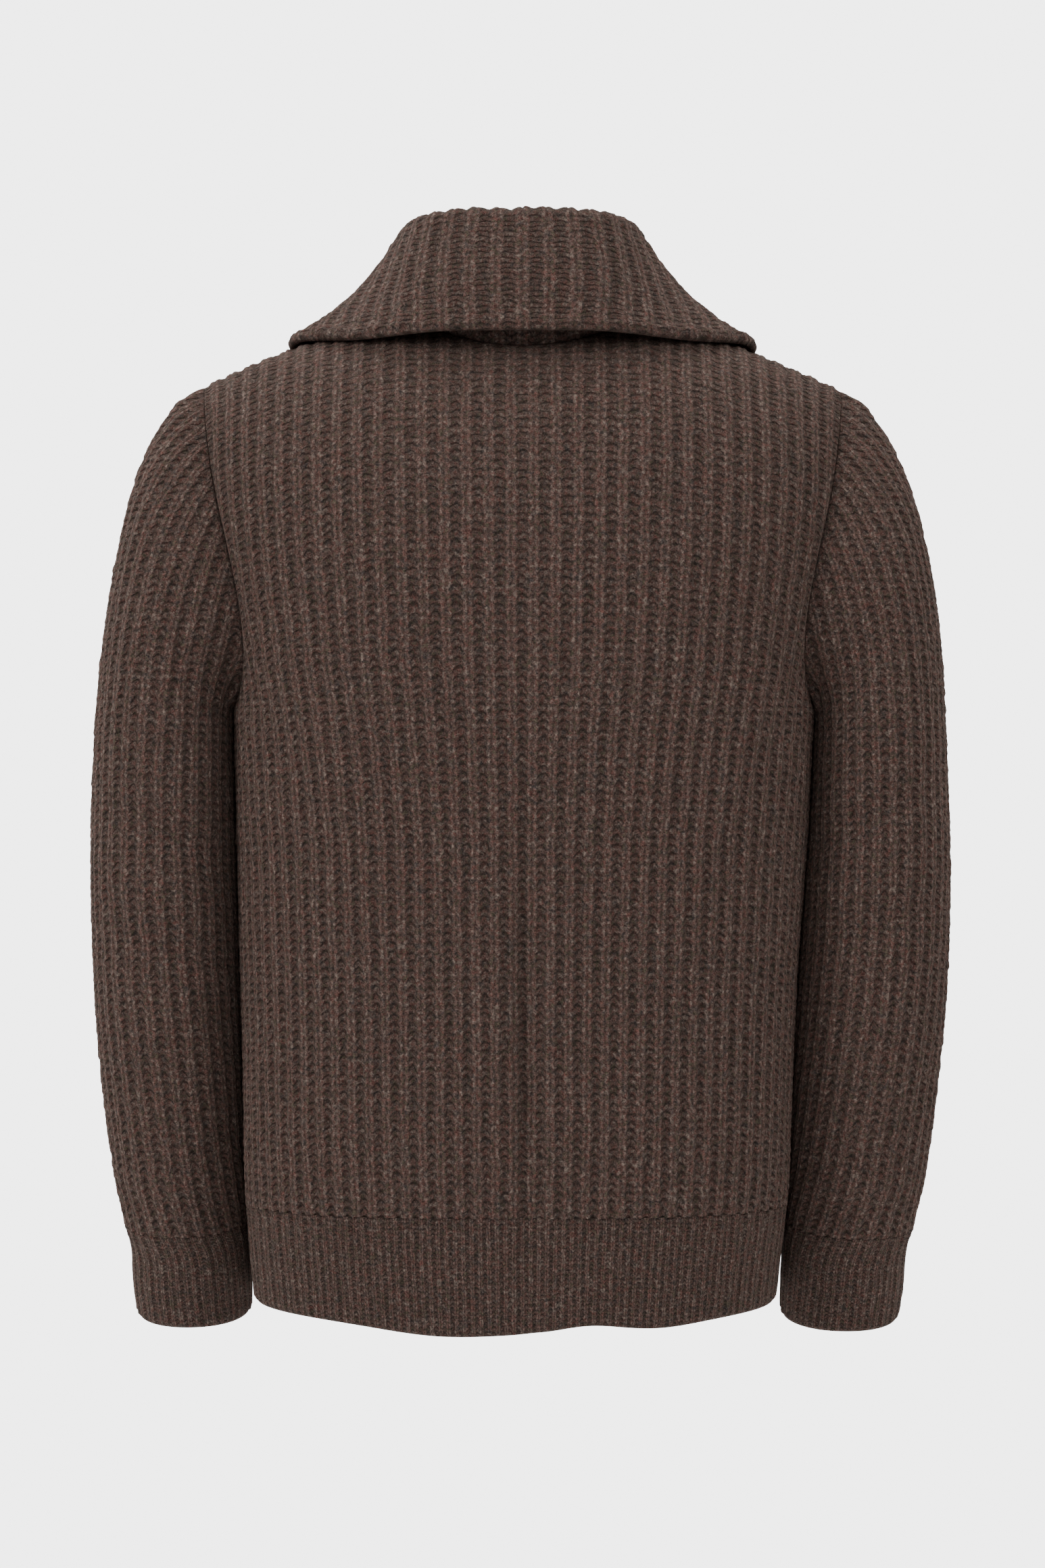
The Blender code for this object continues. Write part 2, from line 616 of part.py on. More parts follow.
def zip_strip(name, side, low_x, high_x, behind, thick, low_z, high_z, material):
    """A strip that follows the centre front, `behind` the knit's outer surface by that much."""
    outer = []
    for z in np.linspace(low_z, high_z, ZIP_ROWS + 1):
        outer.append([(side * x, front_y(z) + behind, z) for x in (low_x, high_x)])
    outer = np.array(outer)
    wall = np.zeros_like(outer)
    wall[:, :, 1] = thick
    return cloth_wall(name, outer, wall, material)


def zip_parts(tape_cloth, brass):
    foot = HEM_SIDE_Z - HEM_FRONT_DROP
    low = foot + BOX_TALL + 2 * SEAM
    tape_y = KNIT + TAPE_GAP
    chain_y = tape_y + (TAPE_THICK - CHAIN_THICK) / 2
    slider_top = VEE_Z - STOP_TALL - SLIDER_BELOW_STOP
    chain_top = slider_top - POST_TALL - SEAM
    stop_y = front_y(VEE_Z) + chain_y
    for side, word in ((1, "left"), (-1, "right")):
        edges = (TAPE_INNER_X, TAPE_INNER_X + TAPE_WIDTH)
        zip_strip("zip_tape_" + word, side, *edges, tape_y, TAPE_THICK, low, VEE_Z - 2 * SEAM, tape_cloth)
        edges = (SEAM / 2, CHAIN_HALF)
        zip_strip("zip_chain_" + word, side, *edges, chain_y, CHAIN_THICK, low, chain_top, brass)
        across = sorted((side * STOP_INNER_X, side * CHAIN_HALF))
        mesh = bmesh.new()
        near = (across[0], stop_y, slider_top + SEAM)
        far = (across[1], stop_y + CHAIN_THICK, slider_top + SEAM + STOP_TALL)
        box_mesh(mesh, near, far)
        finish("zip_stop_" + word, mesh, brass)
    box_y = front_y(foot) + chain_y
    mesh = bmesh.new()
    near = (-BOX_HALF, box_y - BOX_PROUD, foot + BOX_LIFT)
    far = (BOX_HALF, box_y + CHAIN_THICK + BOX_PROUD, foot + BOX_TALL)
    box_mesh(mesh, near, far)
    bmesh.ops.bevel(mesh, geom=mesh.edges[:], offset=BOX_EDGE, segments=2, profile=0.5, affect="EDGES")
    finish("zip_box", mesh, brass, SHARP_BELOW)
    slider(brass, front_y(slider_top) + chain_y - SEAM, slider_top)


def slider(brass, face, top):
    """Two plates joined by a post between the tapes, with an arched bail on the front one."""
    foot = top - SLIDER_TALL
    back = face + 2 * SEAM + CHAIN_THICK
    skin = face - PLATE_THICK
    mesh = bmesh.new()
    box_mesh(mesh, (-SLIDER_HALF, skin, foot), (SLIDER_HALF, face, top))
    body = finish("zip_slider", mesh, brass, SHARP_BELOW)
    mesh = bmesh.new()
    box_mesh(mesh, (-SLIDER_HALF, back, foot), (SLIDER_HALF, back + BACK_PLATE_THICK, top))
    add(body, mesh, "back_plate")
    mesh = bmesh.new()
    box_mesh(mesh, (-POST_HALF, face - JOINED, top - POST_TALL), (POST_HALF, back + JOINED, top - BOX_PROUD))
    add(body, mesh, "post")
    axis_z = top - BAIL_BELOW_TOP
    inner = BAIL_WINDOW / 2
    outer = inner + BAIL_THICK
    reach = skin - BAIL_WINDOW - BAIL_THICK
    lower = [
        (skin + JOINED, -outer),
        (reach + BAIL_CORNER, -outer),
        (reach, BAIL_CORNER - outer),
    ]
    upper = [(y, -z) for y, z in reversed(lower)]
    window = [
        (skin + JOINED, inner),
        (skin - BAIL_WINDOW, inner),
        (skin - BAIL_WINDOW, -inner),
        (skin + JOINED, -inner),
    ]
    outline = [(y, axis_z + z) for y, z in lower + upper + window]
    add(body, extruded(outline, -BAIL_HALF, BAIL_HALF), "bail")
    pull(brass, skin - BAIL_WINDOW / 2, axis_z)


def extruded(outline, low_x, high_x):
    """An outline in y and z, carried from one x to the other."""
    mesh = bmesh.new()
    face = mesh.faces.new([mesh.verts.new((low_x, y, z)) for y, z in outline])
    moved = bmesh.ops.extrude_face_region(mesh, geom=[face])["geom"]
    for item in moved:
        if isinstance(item, bmesh.types.BMVert):
            item.co.x = high_x
    return mesh


def add(body, mesh, name):
    """Joins another closed shape to a body with a Boolean."""
    bmesh.ops.recalc_face_normals(mesh, faces=mesh.faces)
    data = bpy.data.meshes.new(name)
    mesh.to_mesh(data)
    mesh.free()
    helper = bpy.data.objects.new(name, data)
    bpy.context.scene.collection.objects.link(helper)
    helper.hide_render = True
    helper.display_type = "WIRE"
    modifier = body.modifiers.new(name, "BOOLEAN")
    modifier.operation = "UNION"
    modifier.object = helper


def pull(brass, axis_y, axis_z):
    """The tab: a rounded plate with a window round the bail, hanging from the bar at its top."""
    top = PULL_BAR / 2
    round_z = top - PULL_LONG + PULL_HALF
    outline = [
        (-PULL_HALF, top - PULL_CHAMFER),
        (-PULL_SHOULDER_HALF, top),
        (PULL_SHOULDER_HALF, top),
        (PULL_HALF, top - PULL_CHAMFER),
    ]
    for degrees in range(0, 181, 20):
        turn = math.radians(degrees)
        outline.append((PULL_HALF * math.cos(turn), round_z - PULL_HALF * math.sin(turn)))
    window = [
        (-PULL_WINDOW_HALF, -top),
        (PULL_WINDOW_HALF, -top),
        (PULL_WINDOW_HALF, -top - PULL_WINDOW_TALL),
        (-PULL_WINDOW_HALF, -top - PULL_WINDOW_TALL),
    ]
    mesh = bmesh.new()
    edges = []
    for loop in (outline, window):
        ring = [mesh.verts.new((x, -PULL_THICK / 2, z)) for x, z in loop]
        edges += [mesh.edges.new((ring[k - 1], ring[k])) for k in range(len(ring))]
    bmesh.ops.triangle_fill(mesh, use_beauty=True, edges=edges)
    moved = bmesh.ops.extrude_face_region(mesh, geom=mesh.faces[:])["geom"]
    for item in moved:
        if isinstance(item, bmesh.types.BMVert):
            item.co.y = PULL_THICK / 2
    tab = finish("zip_pull", mesh, brass, SHARP_BELOW)
    tab.location = (0, axis_y, axis_z)


def main():
    for obj in list(bpy.data.objects):
        bpy.data.objects.remove(obj, do_unlink=True)
    wool = new_material("wool_rib_knit", WOOL, 0.95, 0.0)
    tape_cloth = new_material("zip_tape", TAPE_CLOTH, 0.85, 0.0)
    brass = new_material("antique_brass", BRASS, 0.38, 1.0)
    body_panels(wool)
    sleeves(wool)
    collar(wool)
    zip_parts(tape_cloth, brass)


main()
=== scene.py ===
import functools
import math

import bmesh
import bpy
import numpy as np
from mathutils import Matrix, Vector


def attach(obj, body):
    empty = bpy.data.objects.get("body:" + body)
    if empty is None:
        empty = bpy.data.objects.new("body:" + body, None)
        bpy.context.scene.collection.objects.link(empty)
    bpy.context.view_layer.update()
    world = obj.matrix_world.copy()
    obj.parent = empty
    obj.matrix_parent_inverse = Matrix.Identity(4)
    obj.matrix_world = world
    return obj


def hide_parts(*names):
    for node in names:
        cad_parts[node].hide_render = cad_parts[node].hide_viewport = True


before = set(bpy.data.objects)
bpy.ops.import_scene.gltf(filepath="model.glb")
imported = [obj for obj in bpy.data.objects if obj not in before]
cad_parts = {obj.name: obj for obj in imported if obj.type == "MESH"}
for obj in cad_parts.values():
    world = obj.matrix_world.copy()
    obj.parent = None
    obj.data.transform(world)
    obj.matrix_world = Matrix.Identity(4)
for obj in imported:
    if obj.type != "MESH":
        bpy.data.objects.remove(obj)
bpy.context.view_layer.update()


# Camera, floor and light

studio = {
    "cameraAway": 2.4,        # behind the back, level with the middle of the garment
    "cameraZ": -0.300,
    "seenTall": 1.067,        # height of the view at the middle of the garment
    "floorZ": -1.45,          # well below the hem, because the garment is shown as worn
    "floorHalf": 2.7,
    "paper": "#f4f4f4",
    "skyStrength": 0.30,
    "backdropStrength": 4.4,
    # place, target, width and height, power; the wearer's left is lit more than the right
    "lights": {
        "left soft box": ((2.1, 1.5, 0.9), (0, 0, -0.15), (1.0, 1.8), 39.5),
        "left fill box": ((2.1, -1.5, 0.9), (0, 0, -0.15), (1.0, 1.8), 39.5),
        "right soft box": ((-2.1, 1.5, 0.9), (0, 0, -0.15), (1.0, 1.8), 21.5),
        "right fill box": ((-2.1, -1.5, 0.9), (0, 0, -0.15), (1.0, 1.8), 21.5),
        "back box": ((0, 3.0, 1.2), (0, 0, -0.3), (1.6, 1.2), 20),
        "front box": ((0, -3.0, 1.2), (0, 0, -0.3), (1.6, 1.2), 20),
        "top box": ((0, 0, 2.4), (0, 0, -0.2), (2.0, 2.0), 36),
    },
}


def linear(hexColour):
    # sRGB hex to linear RGBA
    parts = [int(hexColour[k:k + 2], 16) / 255 for k in (1, 3, 5)]
    return tuple(p / 12.92 if p <= 0.04045 else ((p + 0.055) / 1.055) ** 2.4 for p in parts) + (1.0,)


def addNode(tree, kind, inputs=None, output=0, **settings):
    # one node, and the socket that it gives; inputs are values, colours or other nodes' sockets
    node = tree.nodes.new("ShaderNode" + kind)
    for name, value in settings.items():
        setattr(node, name, value)
    for key, value in (inputs or {}).items():
        socket = node.inputs[key]
        if isinstance(value, bpy.types.NodeSocket):
            tree.links.new(value, socket)
        else:
            socket.default_value = value
    return node.outputs[output] if node.outputs else None


def newMaterial(name):
    # an empty material, and addNode for its own tree
    material = bpy.data.materials.new(name)
    material.use_nodes = True
    material.node_tree.nodes.clear()
    return material, functools.partial(addNode, material.node_tree)


def newObject(name, data):
    made = bpy.data.objects.new(name, data)
    bpy.context.scene.collection.objects.link(made)
    return made


def meshData(name, mesh):
    # a finished bmesh, written out and let go
    data = bpy.data.meshes.new(name)
    mesh.to_mesh(data)
    mesh.free()
    return data


def makeCamera():
    camera = newObject("camera", bpy.data.cameras.new("camera"))
    camera.location = (0, studio["cameraAway"], studio["cameraZ"])
    camera.rotation_euler = (math.radians(90), 0, math.radians(180))
    camera.data.lens = camera.data.sensor_width * studio["cameraAway"] / studio["seenTall"]
    camera.data.clip_end = 100
    bpy.context.scene.camera = camera


def makeStudio():
    world = bpy.data.worlds.new("studio")
    bpy.context.scene.world = world
    world.use_nodes = True
    tree = world.node_tree
    seen = addNode(tree, "LightPath", output="Is Camera Ray")
    strength = addNode(tree, "MapRange", {0: seen, 3: studio["skyStrength"], 4: studio["backdropStrength"]})
    sky = tree.nodes["Background"]
    tree.links.new(strength, sky.inputs["Strength"])
    sky.inputs["Color"].default_value = (1, 1, 1, 1)
    mesh = bmesh.new()
    bmesh.ops.create_grid(mesh, x_segments=1, y_segments=1, size=studio["floorHalf"])
    bmesh.ops.translate(mesh, verts=mesh.verts, vec=(0, 0, studio["floorZ"]))
    floor = newObject("floor", meshData("floor", mesh))
    material, add = newMaterial("matt studio paper")  # coated paper sweep: matt, almost white
    shader = add("BsdfPrincipled", {
        "Base Color": linear(studio["paper"]), "Roughness": 0.9, "Specular IOR Level": 0.2})
    add("OutputMaterial", {"Surface": shader})
    floor.data.materials.append(material)
    for name, (place, target, size, power) in studio["lights"].items():
        light = newObject(name, bpy.data.lights.new(name, "AREA"))
        light.data.shape = "RECTANGLE"
        light.data.size, light.data.size_y = size
        light.data.energy = power
        light.location = place
        light.rotation_euler = (light.location - Vector(target)).to_track_quat("Z", "Y").to_euler()


makeCamera()
makeStudio()
print("camera and studio ready")


# Measures shared by every cloth piece

knit = {
    "wall": 0.0045,
    "ribSteps": (0, 0.13, 0.25, 0.37, 0.5, 0.63, 0.75, 0.87),  # places across one rib, from valley to valley
    "course": 0.0058,          # height of one stitch
    "insideRows": 6,           # the inside skin has one row for this many outside, and one column a rib
    "merge": 0.00002,
    "bandBlend": 0.018,        # the body's ribs flatten into the band's over this height
    "seamBlend": 0.016,        # width over which the wall turns to the seam's own direction
    "patchCourses": 9,         # the knitting is a little higher or lower in patches of this many stitches
    "patchUneven": 0.10,       # by about this much, in mm
}

# Edges of a piece: how deep it rolls in, over what width, and whether shading breaks there, so that two
# pieces sewn edge to edge look like one cloth

edgeKinds = {
    "sewn": (0.0006, 0.004, True),
    "closed": (0.0006, 0.005, True),        # along the underarm
    "running": (0, 0, True),                # the ribs run on into the next piece
    "free": (0.0018, 0.003, False),
    "collarFoot": (0.0004, 0.004, True),
    "collarFree": (0.0012, 0.004, False),
    "collarFront": (0.0015, 0.004, False),
}


def smoothCurve(keys, values, at):
    # cubic through the points, with slopes from their neighbours
    keys, values = np.asarray(keys, float), np.asarray(values, float)
    if keys[0] > keys[-1]:
        keys, values = keys[::-1], values[::-1]
    slopes = np.gradient(values, keys)
    at = np.clip(np.asarray(at, float), keys[0], keys[-1])
    left = np.clip(np.searchsorted(keys, at, side="right") - 1, 0, len(keys) - 2)
    step = keys[left + 1] - keys[left]
    t = (at - keys[left]) / step
    rise = values[left + 1] - values[left]
    start, end = slopes[left] * step, slopes[left + 1] * step
    bend = t**2 * (3 * rise - 2 * start - end) + t**3 * (start + end - 2 * rise)
    return values[left] + t * start + bend


def smoothColumn(table, which, at):
    # a column of a table against its first one
    return smoothCurve([row[0] for row in table], [row[which] for row in table], at)


def unit(vectors):
    return vectors / np.maximum(np.linalg.norm(vectors, axis=-1, keepdims=True), 1e-12)


def ease(value):
    value = np.clip(value, 0, 1)
    return value * value * (3 - 2 * value)


def lengthAlong(points):
    return np.concatenate([[0.0], np.cumsum(np.linalg.norm(np.diff(points, axis=0), axis=1))])


def pointsAlong(line, length, places):
    return np.stack([np.interp(places, length, line[:, k]) for k in range(3)], axis=1)


def sample(grid, row, column):
    # value of a grid between its own rows and columns
    r = np.clip(np.floor(row).astype(int), 0, grid.shape[0] - 2)
    c = np.clip(np.floor(column).astype(int), 0, grid.shape[1] - 2)
    fr, fc = (row - r)[..., None], (column - c)[..., None]
    low = grid[r, c] * (1 - fc) + grid[r, c + 1] * fc
    high = grid[r + 1, c] * (1 - fc) + grid[r + 1, c + 1] * fc
    return low * (1 - fr) + high * fr


def sampleCloth(grid, out, row, column):
    # points of the surface and directions out of it
    return sample(grid, row, column), unit(sample(out, row, column))


def edgeDistance(points, edge):
    # rough distance of every point to one edge of its grid, along its row or its column
    axis = 0 if edge in ("top", "bottom") else 1
    steps = np.linalg.norm(np.diff(points, axis=axis), axis=2)
    start = np.zeros_like(steps.take([0], axis))
    if edge in ("bottom", "first"):
        return np.concatenate([start, steps.cumsum(axis)], axis)
    return np.concatenate([np.flip(np.flip(steps, axis).cumsum(axis), axis), start], axis)


def turnedTo(seam, out, grid, edge, width, least=1):
    # near an edge the cloth's own direction gives way to the one that both pieces share
    near = ease(1 - edgeDistance(grid, edge) / width)[..., None] * least
    return unit(out * (1 - near) + seam * near), near


def ribColumns(low, high, steps):
    # rib numbers of the columns, from one whole rib to another
    return np.concatenate([(np.arange(low, high)[:, None] + np.array(steps)).ravel(), [high]])


def stitchRows(length, start, end, step):
    # levels of the rows between two places along a line, in whole groups for the inside skin
    count = int(round(abs(end - start) / step / knit["insideRows"])) * knit["insideRows"]
    return np.interp(np.linspace(start, end, count + 1), length, np.arange(len(length)))


def stitchCounts(ribs, rows):
    # rib and stitch numbers over a whole grid, with two rows to a stitch
    return np.tile(ribs, (rows, 1)), np.repeat(np.arange(rows)[:, None] / 2, len(ribs), axis=1)


# The look of each kind of rib, in millimetres at the places across a rib: 0 is the middle of the
# smooth wale and 0.5 the bottom of the valley between two of them

ribAcross = (0.0, 0.13, 0.25, 0.37, 0.5)
ribLooks = {
    "body": {"rise": (0.10, 0.48, 0.12, -1.05, -1.60), "bump": (0.05, 0.12, 0.30, 0.60, 0.70),
             "tug": 0.20, "uneven": 0.26},
    "band": {"rise": (0.25, -0.15, -0.95, -0.85, -0.55), "bump": (0.05, 0.05, 0.05, 0.05, 0.05),
             "tug": 0.04, "uneven": 0.10},   # a close rib in each wide valley
    "collar": {"rise": (-0.10, 0.60, 0.20, -1.10, -1.60), "bump": (0.05, 0.12, 0.35, 0.65, 0.75),
               "tug": 0.18, "uneven": 0.26},
}


def ribHeight(rib, course, look, seed):
    # height of the knitting in metres; ribs have their middles at half numbers
    look = ribLooks[look]
    across = np.abs(rib - np.floor(rib) - 0.5)
    rise, bump = (np.interp(across, ribAcross, look[part]) for part in ("rise", "bump"))
    swing = np.cos(2 * math.pi * course)
    near = ease(1 - np.abs(across - ribAcross[1]) / ribAcross[1])
    rng = np.random.default_rng(seed)
    cells, patches = rng.normal(0, 1, (400, 97)), rng.normal(0, 1, (40, 97))
    cell = cells[np.floor(course).astype(int) % 400, np.floor(2 * rib).astype(int) % 97]
    group = np.floor(course / knit["patchCourses"]).astype(int)
    patch = patches[group % 40, np.floor(rib + 0.5).astype(int) % 97]
    stitch = rise + bump * (0.5 - 0.5 * swing) + look["tug"] * near * swing
    return 0.001 * (stitch + look["uneven"] * cell + knit["patchUneven"] * patch)


# Soft folds, the same on every piece that they cross: face (1 behind, -1 in front), middle (x, z), turn from
# upright in degrees, half-width, half-length and height out of the cloth

folds = (
    (1, -0.003, -0.475, 1, 0.009, 0.14, -0.0090),
    (1, 0.026, -0.470, 2, 0.014, 0.13, 0.0014),
    (1, 0.118, -0.330, 22, 0.020, 0.10, 0.0030),
    (1, 0.150, -0.290, 26, 0.014, 0.07, -0.0033),
    (1, -0.125, -0.345, -20, 0.020, 0.10, 0.0027),
    (1, -0.152, -0.300, -25, 0.014, 0.07, -0.0030),
    (1, 0.236, -0.335, 62, 0.012, 0.034, -0.0045),
    (1, 0.246, -0.372, 68, 0.012, 0.030, 0.0027),
    (1, 0.238, -0.410, 74, 0.011, 0.032, -0.0036),
    (1, -0.236, -0.320, -60, 0.012, 0.034, -0.0039),
    (1, -0.240, -0.390, -70, 0.012, 0.032, -0.0039),
    (1, 0.225, -0.215, 14, 0.014, 0.05, -0.0033),
    (1, -0.226, -0.215, -14, 0.014, 0.05, -0.0033),
    (1, 0.234, -0.568, 86, 0.010, 0.034, 0.0027),
    (1, -0.228, -0.570, -84, 0.010, 0.034, 0.0027),
    (-1, 0.095, -0.370, 16, 0.018, 0.11, -0.0030),
    (-1, -0.085, -0.410, -12, 0.018, 0.12, -0.0030),
    (-1, 0.140, -0.300, 28, 0.016, 0.07, 0.0030),
    (-1, -0.142, -0.310, -26, 0.016, 0.07, 0.0027),
    (-1, 0.234, -0.350, 70, 0.012, 0.034, -0.0039),
    (-1, -0.236, -0.365, -66, 0.012, 0.034, -0.0039),
)


def foldHeight(points, outward):
    height = np.zeros(points.shape[:2])
    for face, x, z, degrees, wide, long, rise in folds:
        turn = math.radians(degrees)
        dx, dz = points[..., 0] - x, points[..., 2] - z
        across = (dx * math.cos(turn) - dz * math.sin(turn)) / wide
        along = (dz * math.cos(turn) + dx * math.sin(turn)) / long
        height += rise * np.exp(-across**2 - along**2) * ease((face * outward[..., 1] - 0.05) / 0.45)
    return height


def knitted(points, outward, ribs, courses, look, seed, edges):
    # the smooth surface raised into ribs and rolled in at its edges
    height = ribHeight(ribs, courses, look, seed)
    if look == "band":
        grown = ease(edgeDistance(points, "top") / knit["bandBlend"])
        height = height * grown + ribHeight(ribs, courses - courses.max(), "body", seed - 1) * (1 - grown)
    for edge, kind in edges.items():
        depth, width, _ = edgeKinds[kind]
        if width:
            calm = ease(edgeDistance(points, edge) / width)
            height = height * calm - depth * (1 - calm)
    return points + outward * height[..., None]


def pointsOf(geometry):
    return [item for item in geometry if isinstance(item, bmesh.types.BMVert)]


def flatCut(rows, columns, across):
    # The piece as cut: one outside square a stitch step, a coarser inside skin, and the rims between.
    # x counts columns, y counts rows and z is 0 outside and -1 inside.
    mesh = bmesh.new()
    along = knit["insideRows"]
    bmesh.ops.create_grid(mesh, x_segments=columns, y_segments=rows, size=0.5)
    outline = [e for e in mesh.edges if e.is_boundary]
    made = bmesh.ops.create_grid(mesh, x_segments=columns // across, y_segments=rows // along, size=0.5)
    inside = made["verts"]
    bmesh.ops.translate(mesh, verts=inside, vec=(0, 0, -1))
    bmesh.ops.reverse_faces(mesh, faces=list({f for v in inside for f in v.link_faces}))
    edges = {e for v in inside for e in v.link_edges if e.is_boundary}
    level, upright = ([e for e in edges if abs(e.verts[0].co[k] - e.verts[1].co[k]) < 1e-6] for k in (1, 0))
    bmesh.ops.bisect_edges(mesh, edges=level, cuts=across - 1)
    bmesh.ops.bisect_edges(mesh, edges=upright, cuts=along - 1)
    bmesh.ops.translate(mesh, verts=mesh.verts, vec=(0.5, 0.5, 0))
    bmesh.ops.scale(mesh, verts=mesh.verts, vec=(columns, rows, 1))
    for point in pointsOf(bmesh.ops.extrude_edge_only(mesh, edges=outline)["geom"]):
        point.co.z = -1
    bmesh.ops.remove_doubles(mesh, verts=mesh.verts, dist=0.01)
    return mesh


def newPiece(name, node, data, material):
    # a piece that takes the place of one solid of the frame
    piece = newObject(name, data)
    data.materials.append(material)
    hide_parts(node)
    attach(piece, "garment")
    return piece


def wearCloth(name, node, points, walls, ribs, courses, edges, material, across=8):
    # Puts a flat cut on its body: `points` outside, `points + walls` inside, `across` columns to a rib.
    # `ribs` and `courses` count the stitches at each vertex and become the piece's own UV map.
    rows, columns = points.shape[0] - 1, points.shape[1] - 1
    data = meshData(name, flatCut(rows, columns, across))
    flat = np.zeros(len(data.vertices) * 3, np.float32)
    data.vertices.foreach_get("co", flat)
    flat = flat.reshape(-1, 3)
    column, row = (np.rint(flat[:, k]).astype(int) for k in (0, 1))
    inside = flat[:, 2] < -0.5
    place = points[row, column] + walls[row, column] * inside[:, None]
    data.vertices.foreach_set("co", place.astype(np.float32).ravel())
    ends = np.zeros(len(data.edges) * 2, np.int32)
    data.edges.foreach_get("vertices", ends)
    low, high = flat[ends[::2]], flat[ends[1::2]]
    outer = (low[:, 2] > -0.5) & (high[:, 2] > -0.5)
    lines = {"first": (0, 0), "last": (0, columns), "bottom": (1, 0), "top": (1, rows)}
    breaks = [outer & (abs(low[:, k] - at) < 0.1) & (abs(high[:, k] - at) < 0.1)
              for k, at in (lines[edge] for edge, kind in edges.items() if edgeKinds[kind][2])]
    if breaks:
        sharp = data.attributes.new("sharp_edge", "BOOLEAN", "EDGE")
        sharp.data.foreach_set("value", np.any(breaks, axis=0))
    corner = np.zeros(len(data.loops), np.int32)
    data.loops.foreach_get("vertex_index", corner)
    pair = np.stack([ribs[row, column], courses[row, column]], axis=1)
    data.uv_layers.new(name="stitches").uv.foreach_set("vector", pair[corner].astype(np.float32).ravel())
    mesh = bmesh.new()
    mesh.from_mesh(data)
    bmesh.ops.remove_doubles(mesh, verts=mesh.verts, dist=knit["merge"])
    bmesh.ops.recalc_face_normals(mesh, faces=mesh.faces)
    mesh.to_mesh(data)
    mesh.free()
    data.shade_smooth()
    return newPiece(name, node, data, material)


def makeCloth(name, node, panel, look, seed, edges, material):
    # a knitted piece from its panel: points outside, directions out of the cloth, rib and stitch numbers
    points, outward, ribs, courses = panel
    points = points + outward * foldHeight(points, outward)[..., None]
    outside = knitted(points, outward, ribs, courses, look, seed, edges)
    walls = points - outward * knit["wall"] - outside
    piece = wearCloth(name, node, outside, walls, ribs, courses, edges, material)


def joinHalves(left, right):
    # two half panels that share the centre line become one, from right to left
    right = (*right[:2], -right[2], right[3])
    return [np.concatenate([b[:, :0:-1], a], axis=1) for a, b in zip(left, right)]


# Torso: back, two fronts and the hem bands, cut from one set of level lines

torso = {
    # height, half-widths left and right, depths behind and in front
    "levels": (
        (-0.250, 0.1950, 0.1970, 0.1120, 0.1220),
        (-0.330, 0.1935, 0.1930, 0.1110, 0.1215),
        (-0.420, 0.1910, 0.1865, 0.1085, 0.1190),
        (-0.500, 0.1890, 0.1825, 0.1070, 0.1160),
        (-0.583, 0.1870, 0.1790, 0.1060, 0.1130),
        (-0.622, 0.1840, 0.1745, 0.1030, 0.1095),
        (-0.660, 0.1800, 0.1700, 0.1000, 0.1065),
        (-0.668, 0.1790, 0.1688, 0.0993, 0.1057)),
    "round": 2.6,
    "armpitZ": -0.250,
    "bandTopZ": -0.583,
    "bandRows": 24,
    "bandGap": 0.0001,
    "hemSideZ": -0.648,
    "hemDrop": {1: 0.011, -1: 0.004},   # lower at the centre back and the centre front
    # the hem behind rises and falls: x, width, rise
    "hemWaves": ((0.055, 0.045, -0.0035), (-0.043, 0.026, 0.0040), (-0.095, 0.025, -0.0015)),
    "crestY": -0.005,
    "neckX": 0.080,
    "neckZ": 0.018,
    "neckBackY": 0.056,
    "shoulderX": 0.2165,
    "shoulderZ": {1: -0.0295, -1: -0.0320},
    "shoulderCurve": 1.25,
    "shoulderFull": 0.0012,     # the left shoulder is a little fuller
    "backArch": 3.0,
    "shoulderRound": 2.3,
    "steepest": 0.95,
    "veeZ": -0.215,
    "veeBow": 0.9,
    "frontEdgeX": 0.0055,
    "armholeHalf": 0.050,
    "armholeEgg": 0.25,
    "armholeLean": 0.25,
    "armholeDent": 0.0073,
    "sideLift": 0.00018,
    "curvePoints": 161,       # points that draw half a level line
    "columns": 81,            # and those kept of it, evenly spaced
    "turns": 181,             # level lines between armpit and shoulder
    "levelStep": 0.003,
    # distance between ribs at each height
    "ribPitch": ((-0.660, 0.0111), (-0.583, 0.0116), (-0.530, 0.0119), (-0.450, 0.0120), (-0.340, 0.0123),
                 (-0.280, 0.0130), (-0.220, 0.0140), (-0.150, 0.0145), (-0.070, 0.0148), (0.020, 0.0148)),
    "ribs": 22,               # on half a panel
    "spread": 0.033,          # how much wider the ribs would run at the shoulders than at the armpits
    "spreadBy": 0.6,          # reached at this share of the way up
    "neckSlack": 6,           # columns outside the neck that may still end on it
}


def torsoSize(z, which):
    return smoothColumn(torso["levels"], which, z)


def shoulderHeight(x):
    run = np.clip((np.abs(x) - torso["neckX"]) / (torso["shoulderX"] - torso["neckX"]), 0.0, 1.2)
    full = torso["shoulderFull"] * np.sin(math.pi * np.clip(run, 0, 1) ** 1.5) * (x > 0)
    tip = np.where(x > 0, torso["shoulderZ"][1], torso["shoulderZ"][-1])
    return torso["neckZ"] + full - (torso["neckZ"] - tip) * run ** torso["shoulderCurve"]


